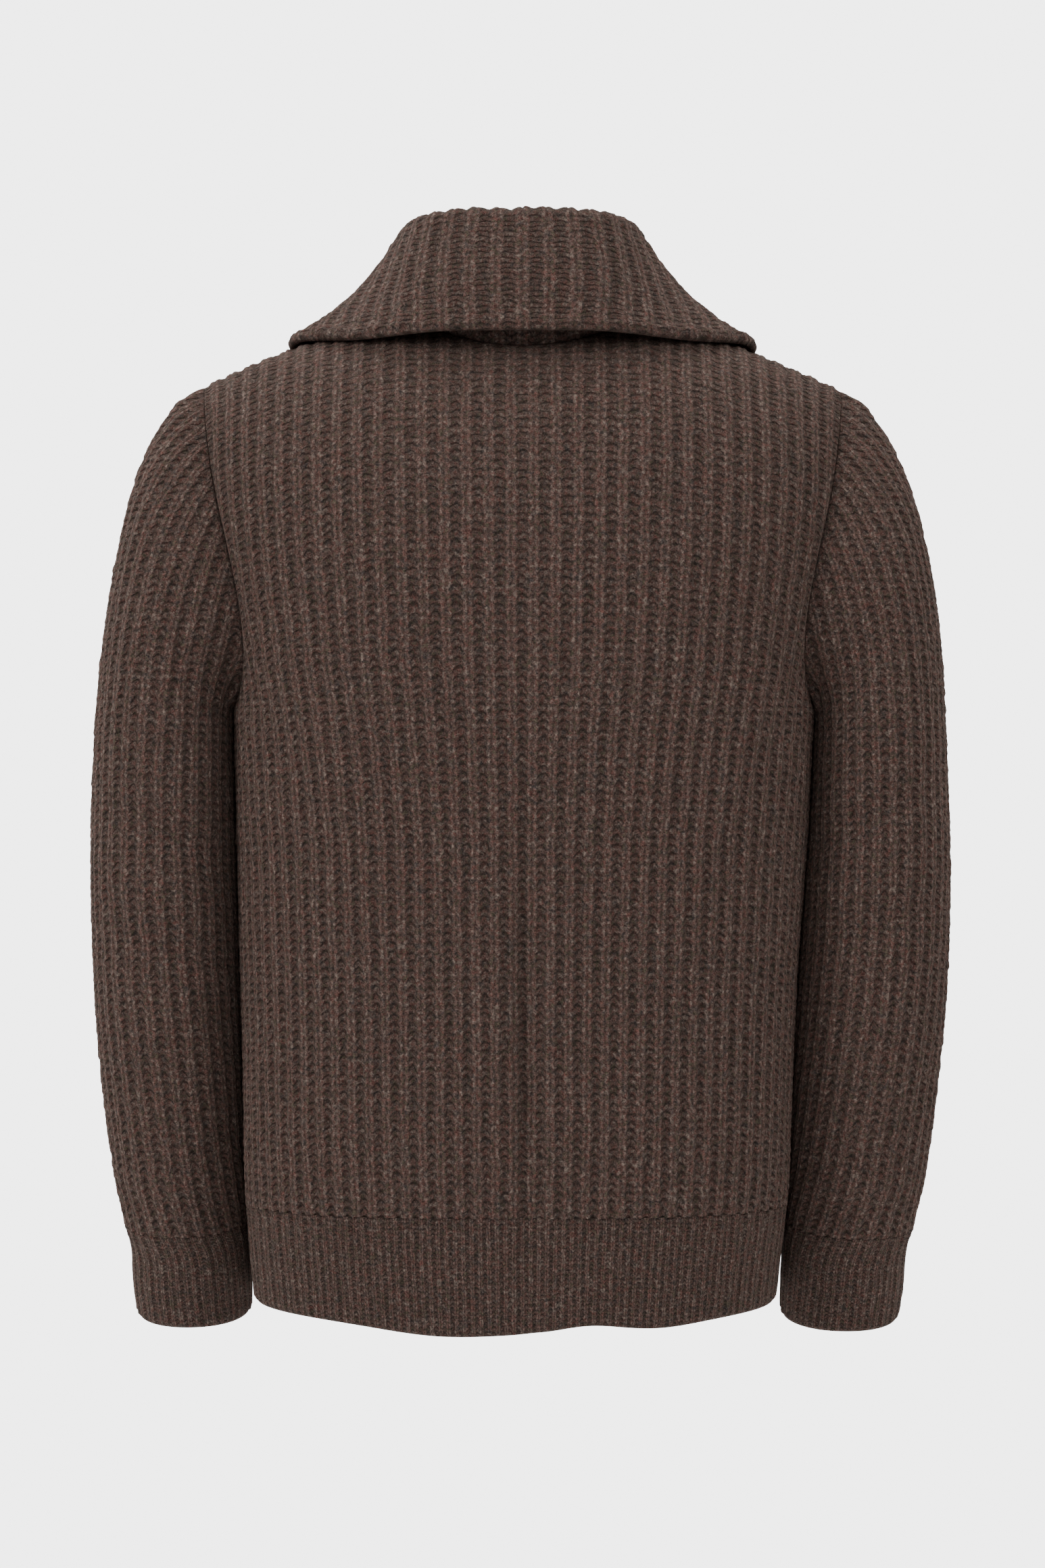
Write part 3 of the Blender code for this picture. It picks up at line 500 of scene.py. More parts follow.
def armhole(side, face, turn):
    # the armhole seam; turn is 0 at the shoulder's tip and pi at the armpit
    middle = (torso["shoulderZ"][side] + torso["armpitZ"]) / 2
    half = (torso["shoulderZ"][side] - torso["armpitZ"]) / 2
    down = (1 - np.cos(turn)) / 2
    armpitX = torsoSize(torso["armpitZ"], 1 if side > 0 else 2)
    x = torso["shoulderX"] + (armpitX - torso["shoulderX"]) * down
    x = x - torso["armholeDent"] * np.sin(turn) ** 2 * (1 - np.cos(turn)) ** 2
    y = torso["armholeHalf"] * np.sin(turn) * (1 - torso["armholeEgg"] * np.cos(turn))
    z = middle + half * np.cos(turn)
    return np.stack([side * x, face * y + torso["crestY"] * (1 - down) ** 4, z], axis=-1)


def armholeOut(side, face, turn):
    # out of the cloth along the armhole seam, shared by body and sleeve
    lean = torso["armholeLean"] * (2 - np.cos(turn))
    return unit(np.stack([side * lean, face * np.sin(turn), np.cos(turn)], axis=-1))


def levelLine(side, half, start, depth, ratio, power):
    # x and y from the centre line to the side seam or the armhole, closely set
    turn = np.linspace(0, math.acos(ratio ** (power / 2)), torso["curvePoints"])
    return side * half * np.sin(turn) ** (2 / power), start + depth * np.cos(turn) ** (2 / power)


def evenly(x, y, z):
    line = np.stack([x, y, z], axis=1)
    length = lengthAlong(line)
    return pointsAlong(line, length, np.linspace(0, length[-1], torso["columns"]))


def halfTorso(side, face):
    # Level lines of a quarter of the torso from below the hem to the shoulder, the directions out of the
    # cloth, the line at which each column reaches the neck, and the number of lines below the armpit
    width, depthColumn = (1 if side > 0 else 2), (3 if face > 0 else 4)
    low = torso["levels"][-1][0]
    heights = np.arange(torso["armpitZ"], low - 1e-6, -torso["levelStep"])[:0:-1]
    lines = []
    for z in heights:
        x, y = levelLine(side, torsoSize(z, width), 0.0, torsoSize(z, depthColumn), 0.0, torso["round"])
        lines.append(evenly(x, face * y, np.full_like(x, z)))
    armpitDepth = torsoSize(torso["armpitZ"], depthColumn)
    for turn in np.linspace(math.pi, 0, torso["turns"]):
        rise = (1 + math.cos(turn)) / 2
        over = math.sqrt(max(0.0, 1 - rise ** torso["backArch"]))
        start = torso["crestY"] * rise**4
        depth = (face * armpitDepth - start) * max(over, 1e-4)
        edge = armhole(side, face, np.array([turn]))[0]
        ratio = min(torso["steepest"], max(0.0, (edge[1] - start) / depth))
        power = torso["round"] + (torso["shoulderRound"] - torso["round"]) * rise
        x, y = levelLine(side, abs(edge[0]) / (1 - ratio**power) ** (1 / power), start, depth, ratio, power)
        lines.append(evenly(x, y, torso["armpitZ"] + (shoulderHeight(x) - torso["armpitZ"]) * rise))
    grid = np.array(lines)
    shares = np.linspace(0, 1, torso["columns"])
    tops = neckLimit(grid, len(heights), face, shares)
    if face < 0:
        grid[:, :, 0] += side * torso["frontEdgeX"] * (1 - shares)
    out = unit(np.cross(np.gradient(grid, axis=1), np.gradient(grid, axis=0))) * -(side * face)
    out = turnedToSeams(grid, out, side, face, len(heights))
    grid[:, :, 1] += face * torso["sideLift"]
    return grid, out, tops, len(heights)


def neckLimit(grid, first, face, shares):
    # the level line at which each column reaches the neckline, or the last one
    part = shares * torso["shoulderX"] / torso["neckX"]
    tops = np.full(len(shares), float(len(grid) - 1))
    rows = np.arange(first, len(grid))
    for c in np.nonzero(part < 1)[0]:
        column = grid[first:, c]
        if face > 0:
            limit = torso["crestY"] + (torso["neckBackY"] - torso["crestY"]) * math.sqrt(1 - part[c] ** 2)
            tops[c] = np.interp(-limit, -column[:, 1], rows)
        else:
            limit = torso["veeZ"] + (torso["neckZ"] - torso["veeZ"]) * part[c] ** torso["veeBow"]
            tops[c] = np.interp(limit, column[:, 2], rows)
    return tops


def turnedToSeams(grid, out, side, face, first):
    # directions at the side seam, at the armhole, on the shoulder and on the centre line
    seam = np.tile(np.array([float(side), 0.0, 0.0]), (len(grid), 1))
    seam[first:] = armholeOut(side, face, np.linspace(math.pi, 0, torso["turns"]))
    out, near = turnedTo(seam[:, None], out, grid, "last", knit["seamBlend"])
    x, step = np.abs(grid[-1, :, 0]), 0.004
    slope = (shoulderHeight(side * (x + step)) - shoulderHeight(side * (x - step))) / (2 * step)
    crest = unit(np.stack([-side * slope, np.zeros_like(x), np.ones_like(x)], axis=1))
    out, _ = turnedTo(crest[None], out, grid, "top", knit["seamBlend"], 1 - near)
    out[:, 0] = unit(out[:, 0] * (0, 1, 1))
    return out


def ribPlaces(z, reach, ribs):
    # how far from the centre each rib runs at a height, when the last one runs at `reach`
    pitch = np.interp(z, *zip(*torso["ribPitch"]))
    return pitch * ribs + (reach - pitch * torso["ribs"]) * (ribs / torso["ribs"]) ** 3


def halfPanel(side, face):
    # Half a back or one front: points outside, directions out of the cloth, rib and stitch numbers. Rows are
    # one half stitch apart along the middle of the half panel.
    grid, out, tops, first = halfTorso(side, face)
    bandRow = np.interp(torso["bandTopZ"], grid[:first, 0, 2], np.arange(first))
    middle = lengthAlong(grid[:, torso["columns"] // 2] * (0, 1, 1))
    start, end = np.interp((bandRow, len(grid) - 1), np.arange(len(grid)), middle)
    rows = stitchRows(middle, start, end, knit["course"] / 2)
    ribs = ribColumns(0, torso["ribs"], knit["ribSteps"])
    number = np.arange(torso["columns"])
    level, share = [], []
    for row in rows:
        line = sample(grid, np.full(torso["columns"], row), number)
        length = lengthAlong(line)
        if row < first:
            armpitReach = reach = length[-1]
        else:
            reach = armpitReach + torso["spread"] * ease((row - first) / (torso["spreadBy"] * torso["turns"]))
        full = ribPlaces(line[torso["columns"] // 3, 2], reach, ribs)
        level.append(np.full(len(ribs), row))
        share.append(np.interp(np.minimum(full, length[-1]), length, number))
    level, share = np.array(level), np.array(share)
    # the neckline: columns that run past it end on it
    over = level - np.interp(share, number, tops)
    beside = number[-1] * torso["neckX"] / torso["shoulderX"] + torso["neckSlack"]
    for c in range(len(ribs)):
        above = np.nonzero(over[:, c] > 1e-6)[0]
        if len(above) == 0 or share[-1, c] > beside:
            continue
        r = above[0]
        t = over[r - 1, c] / (over[r - 1, c] - over[r, c])
        share[r:, c] = share[r - 1, c] + (share[r, c] - share[r - 1, c]) * t
        level[r:, c] = np.interp(share[r, c], number, tops)
    return *sampleCloth(grid, out, level, share), *stitchCounts(ribs, len(rows))


def halfBand(side, face):
    # the same for half a hem band, whose lower edge hangs lower at the centre
    grid, out, _, first = halfTorso(side, face)
    ribs = ribColumns(0, torso["ribs"], knit["ribSteps"])
    count = torso["bandRows"]
    share = np.repeat((ribs / torso["ribs"] * (torso["columns"] - 1))[None], count + 1, axis=0)
    foot = torso["hemSideZ"] - torso["hemDrop"][face] * np.cos(ribs / torso["ribs"] * math.pi / 2) ** 2
    x = sample(grid, np.zeros(len(ribs)), share[0])[:, 0]
    for place, wide, rise in torso["hemWaves"]:
        foot = foot + rise * np.exp(-((x - place) / wide) ** 2) * (face > 0)
    t = np.linspace(0, 1, count + 1)[:, None]
    z = foot * (1 - t) + (torso["bandTopZ"] - torso["bandGap"]) * t
    level = np.interp(z, grid[:first, 0, 2], np.arange(first))
    courses = np.repeat(t * count / 2, len(ribs), axis=1)
    return *sampleCloth(grid, out, level, share), np.tile(ribs, (count + 1, 1)), courses


def makeTorso(material, bandMaterial):
    makeCloth("back_panel", "back", joinHalves(halfPanel(1, 1), halfPanel(-1, 1)), "body", 3,
              {"first": "sewn", "last": "sewn", "top": "sewn", "bottom": "running"}, material)
    makeCloth("hem_band_back", "hem_back", joinHalves(halfBand(1, 1), halfBand(-1, 1)), "band", 4,
              {"first": "sewn", "last": "sewn", "bottom": "free", "top": "running"}, bandMaterial)
    for side, word, seed in ((1, "left", 5), (-1, "right", 7)):
        panel = "front_" + word + "_panel"
        makeCloth(panel, "front_" + word, halfPanel(side, -1), "body", seed,
                  {"first": "free", "last": "sewn", "top": "sewn", "bottom": "running"}, material)
        makeCloth("hem_band_" + word, "hem_front_" + word, halfBand(side, -1), "band", seed + 1,
                  {"first": "free", "last": "sewn", "bottom": "free", "top": "running"}, bandMaterial)


# Sleeves and cuffs: each row gives the outer and inner outline (x, z), the middle and half-depth (y),
# and the slant of the ring towards the back

sleeve = {
    "knit": {
        "left": (
            (0.2165, -0.0295, 0.1950, -0.2500, 0, 0.050, 0),
            (0.2345, -0.0408, 0.1958, -0.2465, 0, 0.054, 0),
            (0.2535, -0.0700, 0.1963, -0.2475, 0, 0.058, 0),
            (0.2655, -0.1030, 0.1965, -0.2535, 0, 0.061, 0),
            (0.2745, -0.1430, 0.1963, -0.2650, 0, 0.063, 0),
            (0.2820, -0.1850, 0.1960, -0.2820, 0, 0.064, 0),
            (0.2875, -0.2300, 0.1955, -0.3050, 0, 0.064, -0.02),
            (0.2915, -0.2900, 0.1946, -0.3400, -0.001, 0.063, -0.04),
            (0.2930, -0.3650, 0.1931, -0.3950, -0.004, 0.061, -0.07),
            (0.2915, -0.4400, 0.1915, -0.4560, -0.009, 0.058, -0.10),
            (0.2870, -0.5050, 0.1901, -0.5120, -0.016, 0.054, -0.13),
            (0.2800, -0.5650, 0.1889, -0.5660, -0.024, 0.050, -0.15),
            (0.2730, -0.6000, 0.1880, -0.5980, -0.028, 0.047, -0.16)),
        "right": (
            (0.2165, -0.0320, 0.1970, -0.2500, 0, 0.050, 0),
            (0.2325, -0.0425, 0.1978, -0.2465, 0, 0.054, 0),
            (0.2505, -0.0700, 0.1982, -0.2475, 0, 0.058, 0),
            (0.2645, -0.1030, 0.1982, -0.2535, 0, 0.061, 0),
            (0.2745, -0.1430, 0.1977, -0.2650, 0, 0.063, 0),
            (0.2815, -0.1850, 0.1970, -0.2820, 0, 0.064, 0),
            (0.2855, -0.2300, 0.1958, -0.3050, 0, 0.064, -0.02),
            (0.2885, -0.2900, 0.1936, -0.3400, -0.001, 0.063, -0.04),
            (0.2905, -0.3650, 0.1896, -0.3950, -0.003, 0.061, -0.07),
            (0.2885, -0.4400, 0.1859, -0.4560, -0.007, 0.058, -0.10),
            (0.2830, -0.5050, 0.1833, -0.5120, -0.013, 0.054, -0.13),
            (0.2755, -0.5650, 0.1810, -0.5660, -0.020, 0.050, -0.15),
            (0.2680, -0.6010, 0.1795, -0.5980, -0.024, 0.047, -0.16)),
    },
    "cuff": {
        "left": (
            (0.2730, -0.6003, 0.1880, -0.5983, -0.028, 0.0470, -0.16),
            (0.2690, -0.6170, 0.1874, -0.6140, -0.030, 0.0445, -0.16),
            (0.2680, -0.6400, 0.1868, -0.6370, -0.033, 0.0435, -0.16),
            (0.2655, -0.6630, 0.1868, -0.6620, -0.036, 0.0430, -0.16)),
        "right": (
            (0.2680, -0.6013, 0.1795, -0.5983, -0.024, 0.0470, -0.16),
            (0.2635, -0.6180, 0.1788, -0.6150, -0.026, 0.0445, -0.16),
            (0.2620, -0.6410, 0.1780, -0.6380, -0.029, 0.0435, -0.16),
            (0.2590, -0.6650, 0.1776, -0.6640, -0.032, 0.0430, -0.16)),
    },
    "round": 2.15,
    "armholeFade": 4.0,      # rows of the table over which the armhole's shape gives way to the sleeve's
    "edgeLift": 0.0004,      # how far the sleeve's edge stays off the body
    "pitch": {"left": 0.0122, "right": 0.0112},   # distance between ribs
    "cuffPitch": 0.0112,
    "cuffStep": 0.0026,      # half a stitch of the cuff
    "aligned": (9.0, 12.0),  # between these rows of the table stitches turn from level to the cuff's slant
    "steepest": 1.5,
    "seamGap": 0.00006,      # half the slit of the underarm seam
    "points": 181,           # on half a ring
    "rings": 241,
    "linePoints": 301,       # on a line of stitches across the panel
}


def sleeveRing(table, side, at, turns):
    columns = (smoothCurve(np.arange(len(table)), column, at) for column in zip(*table))
    outX, outZ, inX, inZ, midY, halfY, slant = map(float, columns)
    power = 2 / sleeve["round"]
    c, s = (np.sign(wave) * np.abs(wave) ** power for wave in (np.cos(turns), np.sin(turns)))
    x = side * ((outX + inX) / 2 + (outX - inX) / 2 * c)
    z = (outZ + inZ) / 2 + (outZ - inZ) / 2 * c + slant * halfY * s
    return np.stack([x, midY + halfY * s, z], axis=1)


def wholeSleeve(table, side, fromArmhole):
    # rings from the armhole down, running from the underarm over the front to the outer line, then the back
    turns = np.linspace(-math.pi, math.pi, 2 * sleeve["points"] - 1)
    around, face = np.abs(turns), np.where(turns >= 0, 1, -1)
    places = np.linspace(0, len(table) - 1, sleeve["rings"])
    grid = np.array([sleeveRing(table, side, at, turns) for at in places])
    if fromArmhole:
        hole = armhole(side, face, around) - grid[0]
        grid = grid + hole * ease(1 - places / sleeve["armholeFade"])[:, None, None]
    wrapped = np.concatenate([grid[:, -2:-1], grid, grid[:, 1:2]], axis=1)
    out = unit(np.cross(np.gradient(wrapped, axis=1), np.gradient(wrapped, axis=0)))[:, 1:-1]
    middle = grid.mean(axis=1, keepdims=True)
    out = out * np.sign(np.sum(out[5:-5] * (grid - middle)[5:-5]))
    if fromArmhole:
        seam = armholeOut(side, face, around)
        away = unit(np.cross(np.gradient(wrapped[0], axis=0)[1:-1], seam))
        out, near = turnedTo(seam[None], out, grid, "bottom", knit["seamBlend"])
        lift = away * np.sign(away[:, :1] * side) * sleeve["edgeLift"]
        grid = grid + lift[None] * near
    return grid, out, places


def ringStitches(grid, out, lines, pitches, pitch):
    # Stitches along a set of lines round a sleeve. `lines` holds, for each row, the level and the share of
    # its points; ribs keep their distance from the outer line and run off into the underarm or the armhole.
    half = sleeve["points"] - 1
    widest = max(lengthAlong(ring)[-1] for ring in grid[::10]) / 2
    reach = int(math.ceil(widest / pitch - 0.5))
    ribs = ribColumns(-reach, reach, knit["ribSteps"])
    level, share = [], []
    for (levels, shares), gap in zip(lines, pitches):
        length = lengthAlong(sample(grid, levels, shares))
        place = np.clip(ribs * gap + np.interp(half, shares, length), 0, length[-1])
        if shares[0] <= 0:
            place[0], place[-1] = 0, length[-1]
        level.append(np.interp(place, length, levels))
        share.append(np.interp(place, length, shares))
    level, share = np.array(level), np.array(share)
    points, outward = sampleCloth(grid, out, level, share)
    points[..., 1] += sleeve["seamGap"] * (share - half) / half
    return points, outward, *stitchCounts(ribs, len(lines))


def sleevePanel(side, word):
    # level lines of the whole sleeve, cut off by the armhole, that give way to the cuff's slant low down
    grid, out, places = wholeSleeve(sleeve["knit"][word], side, True)
    half, pitch = sleeve["points"] - 1, sleeve["pitch"][word]
    outer = grid[:, half]
    length = lengthAlong(outer)
    rows = stitchRows(length, length[-1], 0, knit["course"] / 2)
    number, levels = np.arange(2 * half + 1), np.arange(len(grid))
    fall = np.maximum.accumulate(-grid[:, :, 2], axis=0)
    top, low = torso["shoulderZ"][side], torso["armpitZ"]
    slope = np.gradient(np.abs(outer[:, 0]), -outer[:, 2])
    wider = np.minimum(np.hypot(1, np.interp(rows, levels, slope)), sleeve["steepest"])
    start, end = sleeve["aligned"]
    slanted = ease((np.interp(rows, levels, places) - start) / (end - start))
    lines = []
    for row, near in zip(rows, slanted):
        z = np.interp(row, levels, outer[:, 2])
        flat = np.array([np.interp(-z, fall[:, k], levels) for k in number])
        cut = math.acos(np.clip((z - (top + low) / 2) / ((top - low) / 2), -1, 1)) / math.pi
        shares = half + half * cut * np.linspace(-1, 1, sleeve["linePoints"])
        flat = np.interp(shares, number, flat)
        if cut < 1:
            flat[0] = flat[-1] = 0
        lines.append((flat + (row - flat) * near, shares))
    return ringStitches(grid, out, lines, (pitch + (sleeve["cuffPitch"] - pitch) * slanted) * wider, pitch)


def cuffPanel(side, word):
    grid, out, _ = wholeSleeve(sleeve["cuff"][word], side, False)
    length = lengthAlong(grid[:, sleeve["points"] - 1])
    rows = stitchRows(length, length[-1], 0, sleeve["cuffStep"])
    shares = np.arange(2.0 * sleeve["points"] - 1)
    lines = [(np.full(len(shares), row), shares) for row in rows]
    return ringStitches(grid, out, lines, np.full(len(rows), sleeve["cuffPitch"]), sleeve["cuffPitch"])


def makeSleeves(material, bandMaterial):
    for side, word, seed in ((1, "left", 11), (-1, "right", 13)):
        knitting = "sleeve_" + word + "_knit"
        makeCloth(knitting, "sleeve_" + word, sleevePanel(side, word), "body", seed,
                  {"first": "closed", "last": "closed", "bottom": "running"}, material)
        makeCloth("cuff_" + word + "_band", "cuff_" + word, cuffPanel(side, word), "band", seed + 1,
                  {"bottom": "free", "first": "closed", "last": "closed", "top": "running"}, bandMaterial)


# Collar: one band from the neck seam up to the fold and down to its free edge. Each row is a station along
# the seam, 0 at the centre back and 1 at the zip, with the fold and the free edge (x, y, z) there, and how
# far the leaf between them hollows.

collar = {
    "stations": (
        (0.00, 0.000, 0.0580, 0.078, 0.000, 0.0770, -0.0010, -0.003),
        (0.10, 0.038, 0.0540, 0.078, 0.058, 0.0725, -0.0015, -0.001),
        (0.19, 0.064, 0.0370, 0.077, 0.112, 0.0455, -0.0042, 0.005),
        (0.26, 0.077, 0.0060, 0.075, 0.153, 0.0070, -0.0032, 0.008),
        (0.36, 0.078, -0.0330, 0.054, 0.153, -0.0480, -0.0182, 0.006),
        (0.50, 0.066, -0.0840, 0.000, 0.140, -0.0930, -0.0690, 0.003),
        (0.66, 0.044, -0.1130, -0.071, 0.112, -0.1115, -0.1230, 0),
        (0.82, 0.0245, -0.1275, -0.139, 0.077, -0.1230, -0.1710, 0),
        (0.94, 0.0125, -0.1310, -0.188, 0.048, -0.1265, -0.2050, 0),
        (1.00, 0.0110, -0.1315, -0.212, 0.037, -0.1270, -0.2280, 0)),
    "drawnIn": {1: 0.003, -1: 0.006},   # the fold sits this much closer at the sides of the neck
    "drawnOver": (0.06, 0.62, 0.2),     # from this far out, up to a station, and how soon it ends there
    "lifted": {1: 0.0033, -1: 0.0008},  # the free edge is this much higher on the shoulders
    "liftedOver": (0.31, 0.16),         # the station there, and how far to each side
    "wall": 0.0050,
    "footWall": 0.0052,        # thicker where it is sewn on
    "footBlend": 0.010,
    "foldRadius": 0.0040,
    "edgeLift": 0.0009,
    "mitreLeast": 0.75,
    "roll": 0.0016,            # the free edge ends in a thick row of stitches
    "rollUnder": 0.0020,
    "rollAt": 0.0045,
    "rollWide": 0.0028,
    "zipFade": 0.10,
    "ribs": 29,                # on each half
    "ribSteps": (0, 0.1, 0.2, 0.3, 0.4, 0.5, 0.6, 0.7, 0.8, 0.9),
    "foldPitch": 0.0148,       # distance between ribs at the fold behind the neck
    "course": 0.0043,
    "evenTo": (0.70, 0.15),    # stitches count evenly up to this share of the ribs, then by length
    "standRows": 30,
    "foldRows": 6,
    "leafRows": 42,
    "neckPoints": 33,          # on the neckline of half a back or a front
    "dense": 121,              # stations used to shape the collar
}


def collarLine(side, share, first):
    line = np.stack([smoothColumn(collar["stations"], first + k, share) for k in range(3)], axis=1)
    if first == 1:
        beside, until, over = collar["drawnOver"]
        line[:, 0] -= collar["drawnIn"][side] * ease(line[:, 0] / beside) * ease((until - share) / over)
    else:
        station, over = collar["liftedOver"]
        line[:, 2] += collar["lifted"][side] * ease(1 - np.abs(share - station) / over)
    return line * (side, 1, 1)


def neckSeam(side):
    # half the neck seam from the centre back to the zip, its share of the length and the mitred wall there
    line, wall = [], []
    edge = (torso["columns"] - 1) * torso["neckX"] / torso["shoulderX"]
    share = edge * np.sin(np.linspace(0, math.pi / 2, collar["neckPoints"]))
    for face in (1, -1):
        grid, out, tops, _ = halfTorso(side, face)
        level = np.interp(share, np.arange(len(tops)), tops)
        inOrder = slice(None) if face > 0 else slice(-2, None, -1)
        line.append(sample(grid, level, share)[inOrder])
        wall.append(-sample(out, level, share)[inOrder])
    line, wall = np.concatenate(line), unit(np.concatenate(wall))
    length = lengthAlong(line)
    even = np.linspace(0, length[-1], collar["dense"])
    line, wall = pointsAlong(line, length, even), unit(pointsAlong(wall, length, even))
    share = even / even[-1]
    stand = side * unit(np.cross(np.gradient(line, axis=0), collarLine(side, share, 1) - line))
    lean = unit(wall + stand)
    lean[0] = unit(lean[0] * (0, 1, 1))
    lean[:, 0] *= np.clip((1 - share) / collar["zipFade"], 0, 1)
    lean = unit(lean)
    spread = np.sum(lean * wall, axis=1, keepdims=True)
    return line, share, lean * knit["wall"] / np.maximum(spread, collar["mitreLeast"])


def halfCollar(side):
    # hidden side of the collar at each station, rows running from the seam over the fold to the free edge
    seam, share, lean = neckSeam(side)
    folds, edges = collarLine(side, share, 1), collarLine(side, share, 4)
    hollows = smoothColumn(collar["stations"], 7, share)
    away = unit(np.cross(np.gradient(seam, axis=0), lean))
    toNeck = np.array([0, 0, torso["neckZ"]]) - seam * (1, 0, 0)
    lifts = away * np.sign(np.sum(away * toNeck, axis=1, keepdims=True)) * collar["edgeLift"]
    lines = []
    for point, lift, fold, edge, hollow in zip(seam, lifts, folds, edges, hollows):
        foot = point + lift
        up, over = unit(fold - point), edge - fold
        over = unit(over - up * (over @ up))
        radius = min(collar["foldRadius"], np.linalg.norm(fold - foot) / 3)
        turned = math.acos(up @ unit(edge - fold))
        turn = np.linspace(0, turned, collar["foldRows"] + 1)[:, None]
        arc = fold - up * radius + radius * (up * np.sin(turn) - over * np.cos(turn))
        t = np.linspace(0, 1, collar["standRows"] + 1)[:-1, None]
        stand = foot * (1 - t) + arc[0] * t
        leaf = edge - arc[-1]
        bow = unit(np.cross(leaf, np.cross(up, over))) * hollow
        t = np.linspace(0, 1, collar["leafRows"] + 1)[1:, None]
        lines.append(np.concatenate([stand, arc, arc[-1] + leaf * t - bow * np.sin(math.pi * t)]))
    return np.array(lines).transpose(1, 0, 2), lean


def collarShares(hidden, part):
    # ribs keep their own distance along the fold and along the free edge
    half, count = collar["dense"] - 1, collar["ribs"]
    foldRow = collar["standRows"] + collar["foldRows"] // 2
    number = np.arange(2 * half + 1) - half
    onFold, onEdge = (lengthAlong(hidden[row]) for row in (foldRow, -1))
    onFold, onEdge = onFold - onFold[half], onEdge - onEdge[half]
    first = collar["foldPitch"] * count
    atFold = np.interp(part * first + (onFold[-1] - first) * part**3, onFold, number)
    atEdge = np.interp(part * onEdge[-1], onEdge, number)
    leaf = np.clip((np.arange(len(hidden)) - foldRow) / collar["leafRows"], 0, 1)[:, None]
    return atFold * (1 - leaf) + atEdge * leaf + half


def makeCollar(material):
    (left, leanLeft), (right, leanRight) = halfCollar(1), halfCollar(-1)
    hidden = np.concatenate([right[:, :0:-1], left], axis=1)
    wall = unit(np.cross(np.gradient(hidden, axis=1), np.gradient(hidden, axis=0)))
    lean = unit(np.concatenate([leanRight[:0:-1], leanLeft]))
    wall, near = turnedTo(lean[None], wall, hidden, "bottom", collar["footBlend"])
    thick = collar["wall"] * (1 - near) + collar["footWall"] * near
    ribs = ribColumns(-collar["ribs"], collar["ribs"], collar["ribSteps"])
    part = ribs / collar["ribs"]
    rows = len(hidden)
    share = collarShares(hidden, part)
    level = np.repeat(np.arange(rows, dtype=float)[:, None], len(ribs), axis=1)
    points, wall = sampleCloth(hidden, wall, level, share)
    roll = np.exp(-((edgeDistance(points, "top") - collar["rollAt"]) / collar["rollWide"]) ** 2)[..., None]
    visible = points + wall * (sample(thick, level, share) + collar["roll"] * roll)
    points = points - wall * collar["rollUnder"] * roll
    # stitches counted up from the free edge
    start, width = collar["evenTo"]
    gone = np.linalg.norm(np.diff(visible[::-1], axis=0), axis=2) / collar["course"]
    near = ease((np.abs(part) - start) / width)[None]
    gone = gone * near + 0.5 * (1 - near)
    courses = np.concatenate([np.zeros((1, len(ribs))), gone.cumsum(0)], 0)[::-1]
    numbers = np.tile(ribs + 0.5, (rows, 1))
    edges = {"top": "collarFree", "first": "collarFront", "last": "collarFront", "bottom": "collarFoot"}
    outside = knitted(visible, wall, numbers, courses, "collar", 21, edges)
    piece = wearCloth("collar_band", "collar", outside, points - outside, numbers, courses, edges, material,
                      across=len(collar["ribSteps"]))


# Wool

wool = {
    "brown": "#634d47",
    "slate": "#4a4240",
    "rust": "#6b4640",
    "moss": "#574e41",
    "pale": "#7c6d63",
    "fuzz": "#a89587",
    "fleck": 0.0017,          # size of the coloured flecks spun into the yarn
    "hair": 0.0005,           # spacing of the loose hairs, drawn as coarse as they need to show
    "hairHeight": 0.00036,
    "hairTone": 0.74,         # how much the hairs lighten and darken the yarn
    "wander": 0.0040,         # stitches lean this way and that over this distance
    "lean": (0.28, 1.35),     # by this much of a rib and of a stitch
    "zone": (0.18, 0.28),     # where the smooth wale gives way to the valley, in ribs from its middle
    "split": 0.45,            # how much of its height the wale keeps along its middle
    "slant": 2.2,             # how far the legs of a stitch rise towards its middle, in stitches a rib
    "arc": 6.0,               # how far the loops in the valley droop at their sides
}


